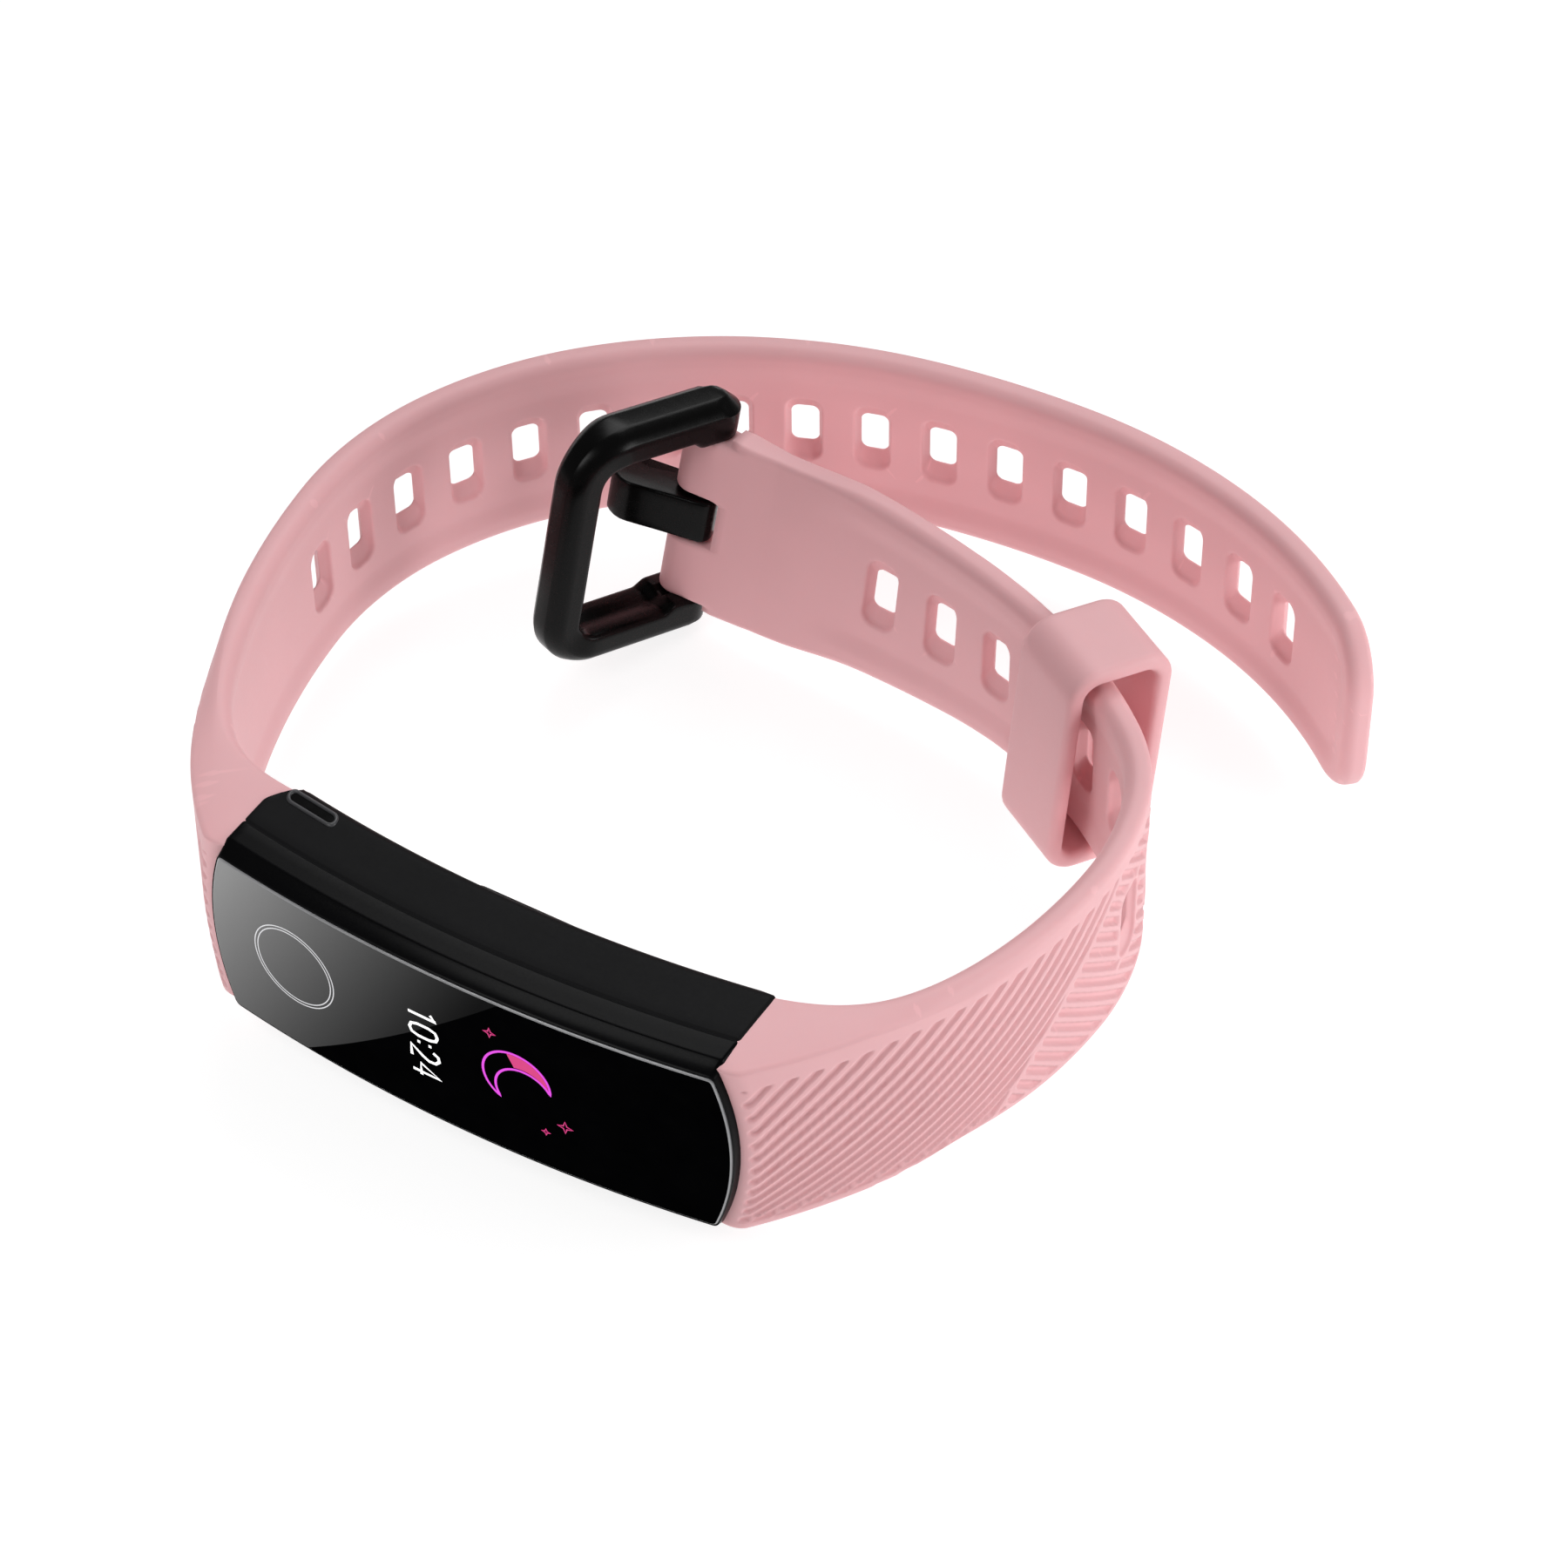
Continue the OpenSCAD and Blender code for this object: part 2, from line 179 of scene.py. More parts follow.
# ---------------------------------------------------------------- materials
class Mat:
    """a Principled material with small helpers for its node tree"""

    def __init__(self, name, base, rough=0.5, metallic=0.0, **sockets):
        self.m = bpy.data.materials.new(name)
        self.m.use_nodes = True
        self.t = self.m.node_tree
        self.b = self.t.nodes["Principled BSDF"]
        self.b.inputs["Base Color"].default_value = (*base, 1)
        self.b.inputs["Roughness"].default_value = rough
        self.b.inputs["Metallic"].default_value = metallic
        for k, v in sockets.items():
            self.b.inputs[k.replace("_", " ")].default_value = v
        self.base = base
        self.rough = rough
        self._co = None

    def node(self, kind, **inputs):
        n = self.t.nodes.new(kind)
        for k, v in inputs.items():
            n.inputs[k.replace("_", " ")].default_value = v
        return n

    def link(self, a, b):
        self.t.links.new(a, b)

    def coords(self, scale=(1000, 1000, 1000)):
        if self._co is None:
            self._co = self.node("ShaderNodeTexCoord")
        mp = self.node("ShaderNodeMapping")
        mp.inputs["Scale"].default_value = scale
        self.link(self._co.outputs["Object"], mp.inputs["Vector"])
        return mp.outputs["Vector"]

    def noise(self, scale, detail=3, rough=0.55, stretch=(1, 1, 1)):
        n = self.node("ShaderNodeTexNoise", Scale=scale, Detail=detail, Roughness=rough)
        self.link(self.coords(tuple(1000 * s for s in stretch)), n.inputs["Vector"])
        return n.outputs["Fac"]

    def ramp(self, fac, stops):
        r = self.node("ShaderNodeValToRGB")
        el = r.color_ramp.elements
        while len(el) > 1:
            el.remove(el[-1])
        el[0].position, el[0].color = stops[0][0], (*stops[0][1], 1)
        for p, c in stops[1:]:
            e = el.new(p)
            e.color = (*c, 1)
        self.link(fac, r.inputs["Fac"])
        return r.outputs["Color"]

    def maprange(self, fac, a, b, lo, hi):
        n = self.node("ShaderNodeMapRange")
        for k, v in zip(("From Min", "From Max", "To Min", "To Max"), (a, b, lo, hi)):
            n.inputs[k].default_value = v
        self.link(fac, n.inputs["Value"])
        return n.outputs["Result"]

    def colour_variation(self, fac, amount, a=0.3, b=0.7):
        lo = tuple(c * (1 - amount) for c in self.base)
        hi = tuple(min(1, c * (1 + amount)) for c in self.base)
        c = self.ramp(fac, [(a, lo), (b, hi)])
        self.link(c, self.b.inputs["Base Color"])
        return c

    def paint_edge_highlight(self, colour, strength=0.5, lo=0.52, hi=0.62):
        """painted highlight: lightens convex edges with the mesh's pointiness"""
        g = self.node("ShaderNodeNewGeometry")
        f = self.maprange(g.outputs["Pointiness"], lo, hi, 0, strength)
        mx = self.node("ShaderNodeMix")
        mx.data_type = "RGBA"
        mx.inputs["B"].default_value = (0, 0, 0, 1)
        src = self.b.inputs["Base Color"].links[0].from_socket if self.b.inputs["Base Color"].links else None
        for i in mx.inputs:
            if i.name == "A" and i.type == "RGBA":
                ia = i
            if i.name == "B" and i.type == "RGBA":
                ib = i
        ib.default_value = (*colour, 1)
        if src:
            self.link(src, ia)
        else:
            ia.default_value = (*self.base, 1)
        self.link(f, mx.inputs["Factor"])
        out = [o for o in mx.outputs if o.type == "RGBA"][0]
        self.link(out, self.b.inputs["Base Color"])

    def rough_variation(self, fac, lo, hi, a=0.3, b=0.7):
        self.link(self.maprange(fac, a, b, lo, hi), self.b.inputs["Roughness"])

    def bump(self, heights, strength=0.2, distance=0.00002):
        """heights: list of (fac, weight)"""
        tot = None
        for fac, w in heights:
            mu = self.node("ShaderNodeMath")
            mu.operation = "MULTIPLY"
            self.link(fac, mu.inputs[0])
            mu.inputs[1].default_value = w
            if tot is None:
                tot = mu.outputs[0]
            else:
                ad = self.node("ShaderNodeMath")
                ad.operation = "ADD"
                self.link(tot, ad.inputs[0])
                self.link(mu.outputs[0], ad.inputs[1])
                tot = ad.outputs[0]
        bp = self.node("ShaderNodeBump", Strength=strength, Distance=distance)
        self.link(tot, bp.inputs["Height"])
        self.link(bp.outputs["Normal"], self.b.inputs["Normal"])


def lin(r, g, b):
    f = lambda c: (c / 255 / 12.92) if c / 255 <= 0.04045 else ((c / 255 + 0.055) / 1.055) ** 2.4
    return (f(r), f(g), f(b))


def silicone(name, base):
    m = Mat(name, base, rough=0.5, Specular_IOR_Level=0.35, Sheen_Weight=0.12, Sheen_Roughness=0.5,
            Subsurface_Weight=0.08, Subsurface_Scale=0.0012)
    m.b.inputs["Sheen Tint"].default_value = (1, 0.85, 0.86, 1)
    m.b.inputs["Subsurface Radius"].default_value = (1.0, 0.45, 0.4)
    big = m.noise(0.09, 3, 0.5)
    fine = m.noise(7.5, 2, 0.6)
    grain = m.noise(3.2, 3, 0.65)
    m.colour_variation(big, 0.022)
    # painted highlight along the convex edges of the silicone
    m.paint_edge_highlight(tuple(min(1, c * 1.1 + 0.02) for c in base), 0.55, 0.515, 0.60)
    m.rough_variation(grain, 0.46, 0.60)
    m.bump([(grain, 0.6), (fine, 0.45)], 0.22, 0.00002)
    return m


def plastic(name, base, rlo, rhi, grain=4.0, bump=0.12, spec=0.4, coat=0.0, edge_highlight=None):
    m = Mat(name, base, rough=(rlo + rhi) / 2, Specular_IOR_Level=spec)
    if coat:
        m.b.inputs["Coat Weight"].default_value = coat
        m.b.inputs["Coat Roughness"].default_value = 0.08
    big = m.noise(0.12, 4, 0.6)
    fine = m.noise(grain, 3, 0.65)
    m.colour_variation(big, 0.10)
    if edge_highlight:
        # painted highlight along convex edges
        m.paint_edge_highlight(edge_highlight, 0.6, 0.53, 0.62)
    m.rough_variation(fine, rlo, rhi)
    m.bump([(fine, 0.7)], bump, 0.00001)
    return m


def metal(name, base, rlo, rhi, stretch=(1, 1, 0.06), edge_highlight=None):
    m = Mat(name, base, rough=(rlo + rhi) / 2, metallic=1.0)
    brush = m.noise(9, 3, 0.6, stretch)
    blot = m.noise(0.5, 3, 0.6)
    m.colour_variation(blot, 0.06)
    if edge_highlight:
        # painted highlight along convex edges
        m.paint_edge_highlight(edge_highlight, 0.5, 0.53, 0.62)
    m.rough_variation(brush, rlo, rhi)
    m.bump([(brush, 0.5)], 0.1, 0.00001)
    return m


PINK = lin(236, 181, 185)
M = {
    "silicone_pink": silicone("silicone_pink_mat", PINK),
    "case_grey": plastic("case_matt_mat", lin(21, 21, 22), 0.42, 0.54, 5.5, 0.14, 0.05, edge_highlight=lin(44, 44, 45)),
    "frame_black": plastic("frame_satin_mat", lin(8, 8, 9), 0.20, 0.27, 5.0, 0.03, 0.045, edge_highlight=lin(46, 46, 48)),
    "buckle_black": plastic("buckle_satin_mat", lin(5, 5, 5), 0.24, 0.29, 1.2, 0.01, 0.13, edge_highlight=lin(14, 14, 14)),
    "steel": metal("steel_mat", (0.56, 0.55, 0.53), 0.18, 0.32, edge_highlight=(0.8, 0.79, 0.77)),
    "gold": metal("gold_mat", (0.86, 0.62, 0.27), 0.16, 0.28, (1, 1, 1)),
    "tin": metal("tin_mat", (0.62, 0.62, 0.6), 0.3, 0.45, (1, 0.1, 1)),
    "foil": metal("battery_foil_mat", (0.72, 0.73, 0.75), 0.28, 0.42, (0.4, 1, 1)),
    "tungsten": metal("tungsten_mat", (0.42, 0.4, 0.38), 0.35, 0.5, (1, 1, 1)),
    "pcb": plastic("pcb_mat", lin(18, 74, 44), 0.3, 0.42, 3.0, 0.1, 0.5),
    "chip": plastic("chip_mat", lin(28, 28, 30), 0.45, 0.6, 6.0, 0.15, 0.4),
    "foam": plastic("foam_mat", lin(225, 223, 215), 0.8, 0.95, 2.0, 0.5, 0.2),
    "panel": plastic("panel_mat", lin(10, 11, 22), 0.1, 0.18, 1.0, 0.02, 0.5),
    "polyimide": plastic("polyimide_mat", lin(190, 110, 30), 0.3, 0.45, 2.0, 0.06, 0.5),
    "lead_red": plastic("lead_mat", lin(170, 24, 24), 0.4, 0.5, 4.0, 0.05, 0.4),
    "led_green": plastic("led_mat", lin(190, 230, 150), 0.2, 0.3, 4.0, 0.03, 0.5),
    "seal": plastic("seal_mat", lin(30, 31, 33), 0.6, 0.75, 3.0, 0.1, 0.3),
    "mid_plastic": plastic("mid_plastic_mat", lin(70, 71, 74), 0.4, 0.55, 4.0, 0.1, 0.4),
}
glass = Mat("cover_glass_mat", (0.0012, 0.0012, 0.0014), rough=0.035, Specular_IOR_Level=0.0)
glass.b.inputs["IOR"].default_value = 1.5
gn = glass.noise(0.35, 3, 0.6)
gc = glass.colour_variation(gn, 0.25)
glass.rough_variation(gn, 0.02, 0.05)


def painted_reflection(m, colour):
    """painted reflection: a pale grey veil painted into the glass colour over the touch key end, fading towards its
    lower edge
    """
    co = m.node("ShaderNodeTexCoord")
    sp = m.node("ShaderNodeSeparateXYZ")
    m.link(co.outputs["Object"], sp.inputs["Vector"])

    def math_node(op, a, b):
        n = m.node("ShaderNodeMath")
        n.operation = op
        for k, v in ((0, a), (1, b)):
            if isinstance(v, (int, float)):
                n.inputs[k].default_value = v
            else:
                m.link(v, n.inputs[k])
        return n.outputs[0]

    x = math_node("SUBTRACT", math_node("MULTIPLY", sp.outputs["X"], 1000), float(ORG[0]))
    z = math_node("SUBTRACT", math_node("MULTIPLY", sp.outputs["Z"], 1000), float(ORG[2]))
    # the painted reflection ends along a shallow curve from the lower left to the upper middle
    q = math_node("ADD", x, 14.0)
    lim = math_node("ADD", math_node("ADD", math_node("MULTIPLY", q, 0.74), math_node("MULTIPLY", math_node("MULTIPLY", q, q), 0.0062)), -7.9)
    inside = m.maprange(math_node("SUBTRACT", z, lim), -0.03, 0.03, 0, 1)
    fall = m.maprange(math_node("SUBTRACT", math_node("MULTIPLY", z, 0.55), x), 1.0, 24.0, 0.16, 1.0)
    f = math_node("MULTIPLY", inside, math_node("MULTIPLY", fall, fall))
    mx = m.node("ShaderNodeMix")
    mx.data_type = "RGBA"
    ia = [i for i in mx.inputs if i.name == "A" and i.type == "RGBA"][0]
    ib = [i for i in mx.inputs if i.name == "B" and i.type == "RGBA"][0]
    m.link(gc, ia)
    ib.default_value = (*colour, 1)
    m.link(f, mx.inputs["Factor"])
    m.link([o for o in mx.outputs if o.type == "RGBA"][0], m.b.inputs["Base Color"])


# painted reflection on the glass: pale grey colour over the touch key end
painted_reflection(glass, (0.36, 0.36, 0.36))
M["glass"] = glass.m
# painted highlight: light grey colour for the rolled rim of the cover glass
rim = Mat("glass_rim_painted_highlight_mat", (0.34, 0.34, 0.35), rough=0.16, Specular_IOR_Level=0.6)
rn = rim.noise(0.4, 3, 0.6)
rim.colour_variation(rn, 0.12)
rim.rough_variation(rn, 0.12, 0.2)
sd = Mat("slot_dark_mat", (0.002, 0.002, 0.002), rough=0.6, Specular_IOR_Level=0.05)
sn = sd.noise(1.2, 3, 0.6)
sd.colour_variation(sn, 0.3)
sd.rough_variation(sn, 0.5, 0.7)
M["slot_dark"] = sd.m
M["slot_lip"] = plastic("slot_lip_mat", lin(62, 62, 64), 0.30, 0.38, 5.5, 0.08, 0.35, edge_highlight=lin(92, 92, 94))
lens = Mat("sensor_lens_mat", (0.004, 0.004, 0.005), rough=0.08, Specular_IOR_Level=0.2)
ln = lens.noise(0.6, 3, 0.6)
lens.colour_variation(ln, 0.3)
lens.rough_variation(ln, 0.05, 0.12)
M["sensor_lens"] = lens.m
for k, v in list(M.items()):
    if isinstance(v, Mat):
        M[k] = v.m


def lit(name, colour, strength):
    m = Mat(name, tuple(c * 0.4 for c in colour), rough=0.3)
    n = m.noise(1.2, 2, 0.5)
    m.colour_variation(n, 0.05)
    c = m.ramp(n, [(0.3, tuple(x * 0.96 for x in colour)), (0.7, colour)])
    m.link(c, m.b.inputs["Emission Color"])
    m.b.inputs["Emission Strength"].default_value = strength
    return m.m


LIT_WHITE = lit("lit_white_mat", (1, 1, 1), 1.0)
LIT_MAGENTA = lit("lit_magenta_mat", lin(205, 40, 205), 1.0)
LIT_ROSE = lit("lit_rose_mat", lin(190, 0, 105), 1.0)
LIT_RING = lit("touch_ring_mat", (0.62, 0.62, 0.64), 0.8)

SLOT_OF = {
    "glass_gasket": "seal", "touch_film": "seal", "display_panel": "panel", "case_seal": "seal",
    "sensor_board": "pcb", "sensor_leds": "led_green", "photodiode": "chip", "charging_contacts": "gold",
    "inner_frame": "mid_plastic", "main_board": "pcb", "processor_chip": "chip", "memory_chip": "chip",
    "radio_chip": "chip", "motion_sensor": "chip", "shield_can": "tin", "battery": "foil", "battery_pad": "foam",
    "battery_leads": "lead_red", "display_flex": "polyimide", "board_screws": "steel", "motor_case": "steel",
    "motor_shaft": "steel", "motor_weight": "tungsten", "strap_pin_long": "steel", "strap_pin_short": "steel",
    "buckle_pin": "steel",
}
for n, sl in SLOT_OF.items():
    ob = NODES[n]
    ob.data.materials.clear()
    ob.data.materials.append(M[sl])


# ---------------------------------------------------------------- strap surfaces
def groove(p, along, hw=0.30, ramp=0.10):
    """depth share of one groove: p across, along from its rounded start"""
    a = np.maximum(hw - along, 0)
    d = np.hypot(p, a)
    return 1 - sstep(hw - ramp / 2, hw + ramp / 2, d)


def ribs(s, z, D, top, s_end, holes, deep=0.26):
    """depth of the moulded herringbone ribs on the outer face"""
    s = root_shift(s, z)
    sl = meet(z) + 0.75
    # first field: slope grows from the lower edge to the upper one
    zz = np.maximum(z, -15)
    c = np.log((zz + 20) / 20) / 0.035
    u = (c - s) / 1.9
    slope = 0.035 * (zz + 20)
    grad = np.sqrt(1 + 1 / slope ** 2) / 1.9
    p = (u - np.floor(u) - 0.5) / grad
    cs = 1 / np.sqrt(1 + slope ** 2)
    sn = slope * cs
    al = ((s - sl) + p * sn) / cs
    h1 = groove(p, al)
    sd = 29.4 + 1.02 * z
    h1 = h1 * (1 - sstep(-0.55, -0.35, s - sd))
    # second field: the other way
    u2 = (z + 0.85 * s) / 1.575
    p2 = (u2 - np.floor(u2) - 0.5) * 1.2
    al2 = ((s - sd - 0.35) + p2 * 0.6) / 1.35
    h2 = groove(p2, al2)
    h = np.maximum(h1, 1.3 * h2)
    h = h * (1 - sstep(top - 0.12, top + 0.06, z)) * sstep(-7.78, -7.6, z)
    h = h * (1 - sstep(s_end - 0.2, s_end, s)) * sstep(0.75, 1.0, D)
    for hs in holes:
        k = np.abs(s - hs) < 4
        rim = rbox(s - hs, z, 1.62, 3.45, 1.2)
        h = np.where(k, h * sstep(0.35, 0.6, rim), h)
    return deep * h


def rounding(D, r):
    q = np.clip(D / r, 0, 1)
    return r * (1 - np.sqrt(np.maximum(0, 1 - (1 - q) ** 2)))


HOLE_PROFILE = [  # half width, half height, corner, share of the thickness from the outer face
    (1.72, 3.52, 1.30, 0.0), (1.60, 3.40, 1.22, 0.012), (1.53, 3.32, 1.18, 0.06), (1.50, 3.26, 1.14, 0.14),
    (1.44, 3.05, 1.05, 0.21), (1.30, 2.45, 0.85, 0.28), (1.18, 1.92, 0.70, 0.345), (1.15, 1.80, 0.66, 0.385),
    (1.15, 1.79, 0.66, 0.43), (1.18, 1.90, 0.70, 0.47), (1.27, 2.35, 0.85, 0.58), (1.37, 2.80, 0.95, 0.70),
    (1.43, 3.00, 1.05, 0.77), (1.46, 3.07, 1.08, 0.84), (1.50, 3.13, 1.12, 0.92), (1.57, 3.21, 1.18, 0.975),
    (1.66, 3.31, 1.25, 0.997), (1.76, 3.42, 1.32, 1.0)]


def strap_mesh(name, rows, cols, halfw, place, outer_d, inner_d, holes, drop=None, close_end=True):
    """rows: s values; cols: shares of the half width; place(s, z, share, do, di) -> xyz;
    outer_d(s, z), inner_d(s, z): depths below the outer curve"""
    S = np.repeat(rows[:, None], len(cols), 1)
    Z = cols[None, :] * halfw(rows)[:, None]
    ns, nz = S.shape
    DO, DI = outer_d(S, Z), inner_d(S, Z)
    V = [place(S, Z, DO).reshape(-1, 3), place(S, Z, DI).reshape(-1, 3)]
    off = ns * nz
    idx = np.arange(ns * nz).reshape(ns, nz)
    sm = (rows[1:] + rows[:-1]) / 2
    zm = (Z[1:, 1:] + Z[:-1, :-1]) / 2
    smm = np.repeat(sm[:, None], nz - 1, 1)
    keep = np.ones((ns - 1, nz - 1), bool)
    if drop is not None:
        keep &= ~drop(smm, zm)
    hole = np.zeros_like(keep)
    ring_q, extra, base = [], [], 2 * off
    for hs in holes:
        i0 = int(np.argmin(abs(rows - (hs - 2.0))))
        i1 = int(np.argmin(abs(rows - (hs + 2.0))))
        zc = cols * halfw(np.array([hs]))[0]
        j0 = int(np.argmin(abs(zc + 3.85)))
        j1 = int(np.argmin(abs(zc - 3.85)))
        hole[i0:i1, j0:j1] = True
        loop = [(i, j0) for i in range(i0, i1)] + [(i1, j) for j in range(j0, j1)] + \
               [(i, j1) for i in range(i1, i0, -1)] + [(i0, j) for j in range(j1, j0, -1)]
        li = np.array([idx[a] for a in loop])
        ls, lz = S.ravel()[li] - hs, Z.ravel()[li]
        A, B = max(abs(ls)), max(abs(lz))
        rings = [li]
        for (a, b, r, f) in HOLE_PROFILE:
            x, y = ls / A * a, lz / B * b
            cx, cy = np.clip(x, -(a - r), a - r), np.clip(y, -(b - r), b - r)
            dx, dy = x - cx, y - cy
            n = np.hypot(dx, dy)
            n[n == 0] = 1
            x, y = cx + dx / n * r, cy + dy / n * r
            ss = hs + x
            d0, d1 = outer_d(ss, y), inner_d(ss, y)
            extra.append(place(ss, y, d0 + (d1 - d0) * f))
            rings.append(base + np.arange(len(li)))
            base += len(li)
        rings.append(li + off)
        for a, b in zip(rings[:-1], rings[1:]):
            ring_q.append(np.stack([a, np.roll(a, -1), np.roll(b, -1), b], 1))
    keep &= ~hole
    c = np.argwhere(keep)
    i, j = c[:, 0], c[:, 1]
    q = np.stack([idx[i, j], idx[i, j + 1], idx[i + 1, j + 1], idx[i + 1, j]], 1)
    quads = [q, q[:, ::-1] + off]
    pad = np.zeros((ns + 1, nz + 1), bool)
    pad[1:ns, 1:nz] = keep
    ph = np.zeros((ns + 1, nz + 1), bool)
    ph[1:ns, 1:nz] = hole
    # edges along z (between rows): cell above and below
    a, b = pad[:-1, 1:nz], pad[1:, 1:nz]
    ha, hb = ph[:-1, 1:nz], ph[1:, 1:nz]
    w = np.argwhere((a != b) & ~(ha | hb))
    if len(w):
        quads.append(np.stack([idx[w[:, 0], w[:, 1]], idx[w[:, 0], w[:, 1] + 1],
                               idx[w[:, 0], w[:, 1] + 1] + off, idx[w[:, 0], w[:, 1]] + off], 1))
    a, b = pad[1:ns, :-1], pad[1:ns, 1:]
    ha, hb = ph[1:ns, :-1], ph[1:ns, 1:]
    w = np.argwhere((a != b) & ~(ha | hb))
    if len(w):
        quads.append(np.stack([idx[w[:, 0], w[:, 1]], idx[w[:, 0] + 1, w[:, 1]],
                               idx[w[:, 0] + 1, w[:, 1]] + off, idx[w[:, 0], w[:, 1]] + off], 1))
    V = np.concatenate(V + extra) if extra else np.concatenate(V)
    Q = np.concatenate(quads + ring_q)
    return make_mesh(name, V, Q, weld=0.002)


EDGE = np.array([0, 0.03, 0.09, 0.17, 0.28, 0.42, 0.6, 0.8, 1.02, 1.25])
FINE = 0.14


def columns(w, lines=()):
    mid = np.arange(-(w - 1.25), w - 1.25 + 1e-6, (2 * w - 2.5) / round((2 * w - 2.5) / FINE))
    c = np.concatenate([-(w - EDGE), w - EDGE, mid] + [np.array(l) for l in lines])
    c = np.unique(np.round(c, 4))
    out = [c[0]]
    for x in c[1:]:
        if x - out[-1] > 0.012:
            out.append(x)
    return np.array(out) / w


def root_shift(s, z):
    """the strap root follows the curved end of the capsule"""
    return s + (meet(z) - 1.5) * np.exp(-np.maximum(s, 0) / 3.0)


def meet(z):
    """arc length at which the outer face meets the end of the case"""
    return 1.25 - 1.15 * np.minimum(np.abs(z) / 8.6, 1) ** 2


def lip(s, z):
    """the strap's end dips behind the rim of the case"""
    e = root_shift(s, z) - meet(z)
    return 0.8 * (np.clip(1.5 - e, 0, 4) / 1.5) ** 2 - 0.75 * np.clip(1 - (z / 8.3) ** 2, 0, 1) * np.exp(-np.maximum(e, 0) / 2.5)


def t_of(s):
    return 2 + 7.3 * np.exp(-(np.maximum(s, 0) / 8.7) ** 1.72)


def root_width(s):
    return 0.27 * np.exp(-(np.maximum(s, 0) / 14) ** 2)


def shoulder(s, D):
    """bevel along both long edges: steep and deep at the root, wide and faint further on"""
    s = np.maximum(s, 0)
    c = 2.7 * np.exp(-s / 15) * (1 - 0.8 * sstep(14, 30, s))
    w = 0.22 + 0.85 * sstep(9, 22, s)
    q = np.clip(1 - D / w, 0, 1)
    return c * q ** 1.15


# long strap with holes
W_L = 8.2
TIP0, TIPR = 139.9, 5.0
th = np.linspace(0, math.pi / 2, 34)
rows_long = np.concatenate([np.arange(0, TIP0 - FINE / 2, FINE), TIP0 + TIPR * np.sin(th)])
LONG_HOLES = [39 + 5.8 * i for i in range(17)]


def halfw_long(s):
    s = np.asarray(s, float)
    x = np.clip((s - TIP0) / TIPR, 0, 1)
    w = np.where(s <= TIP0, W_L, 3.2 + TIPR * np.sqrt(1 - x * x))
    return w + root_width(s)


def dist_long(s, z):
    d = np.minimum(-rbox(s - (TIP0 + TIPR - 40), z, 40, W_L, TIPR), 8.2)
    far = W_L + root_width(s) - np.abs(z)
    return np.maximum(np.where(s < 120, far, d), 0)


def outer_long(s, z):
    D = dist_long(s, z)
    h = ribs(s, z, D, 6.5, 141.5, LONG_HOLES)
    return rounding(D, 0.45) + h + shoulder(s, D) + lip(s, z)


def channel(s, D, root=0.0):
    """shallow channel on the inner face inside two raised bands"""
    return 0.32 * sstep(1.5, 3.6, D) * sstep(3, 16, s)


def inner_long(s, z):
    D = dist_long(s, z)
    t = t_of(s)
    r = 0.45 + 0.6 * sstep(3, 14, s)
    return t - rounding(D, r) - channel(s, D)


def place_long(s, z, d):
    ss = root_shift(s, z)
    X, Y, H = long_curve(ss)
    nx, ny = np.sin(H), -np.cos(H)
    return np.stack(np.broadcast_arrays(X + nx * d, Y + ny * d, z), -1)


strap_long = strap_mesh("strap_long_silicone", rows_long, columns(W_L), halfw_long, place_long, outer_long, inner_long, LONG_HOLES)
finish_piece(strap_long, "band", M["silicone_pink"], ["strap_long"])

# short strap: twisted towards its buckle end, which wraps round the buckle pin
SHORT_HOLES = [38 + 6 * i for i in range(8)]
S_KN, KN_R = 91.0, 1.7


def short_paths():
    """outer and inner paths in plan: chain up to S_KN, then tangents to the pin boss and round it"""
    X, Y, H = short_curve(np.array([S_KN]))
    po = np.array([X[0], Y[0]])
    t = float(t_of(S_KN))
    pi = po + t * np.array([-math.sin(H[0]), math.cos(H[0])])
    out = []
    for p0, ang_end, side in ((po, None, 1), (pi, None, -1)):
        v = p0 - PIN
        d = np.hypot(*v)
        base = math.atan2(v[1], v[0])
        off = math.acos(KN_R / d)
        ta = base + side * off
        tp = PIN + KN_R * np.array([math.cos(ta), math.sin(ta)])
        end = math.pi
        if side > 0:
            arc = np.linspace(ta, end, 15)
        else:
            e = -math.pi
            arc = np.linspace(ta, e, 15)
        pts = [p0 + (tp - p0) * f for f in np.linspace(0, 1, 9)[:-1]]
        pts += [PIN + KN_R * np.array([math.cos(a), math.sin(a)]) for a in arc]
        out.append(np.array(pts))
    return out


PO, PI_ = short_paths()
N_END = len(PO)
rows_short = np.concatenate([np.arange(0, S_KN - FINE / 2, FINE), S_KN + np.arange(N_END)])
S_LAST = S_KN + N_END - 1


def end_xy(P, s):
    f = np.clip(s - S_KN, 0, N_END - 1)
    return np.interp(f, np.arange(N_END), P[:, 0]), np.interp(f, np.arange(N_END), P[:, 1])


# in the end part a row number stands for s; these give the real x of its middle
END_X = (PO[:, 0] + PI_[:, 0]) / 2


def end_x(s):
    return np.interp(np.clip(s - S_KN, 0, N_END - 1), np.arange(N_END), END_X)


def s_real(s):
    """arc length counted on for the end part"""
    return np.where(s <= S_KN, s, S_KN + (END_X[0] - end_x(s)))


X_SH, X_NO = PIN[0] + 2.9, PIN[0] + 2.4       # shoulder for the buckle arms, bottom of the tang notch
S_SH = S_KN + (END_X[0] - X_SH)
S_NO = S_KN + (END_X[0] - X_NO)
W_S, W_E, W_N = 8.2, 7.6, 2.15


def halfw_short(s):
    return W_S + root_width(np.asarray(s, float))


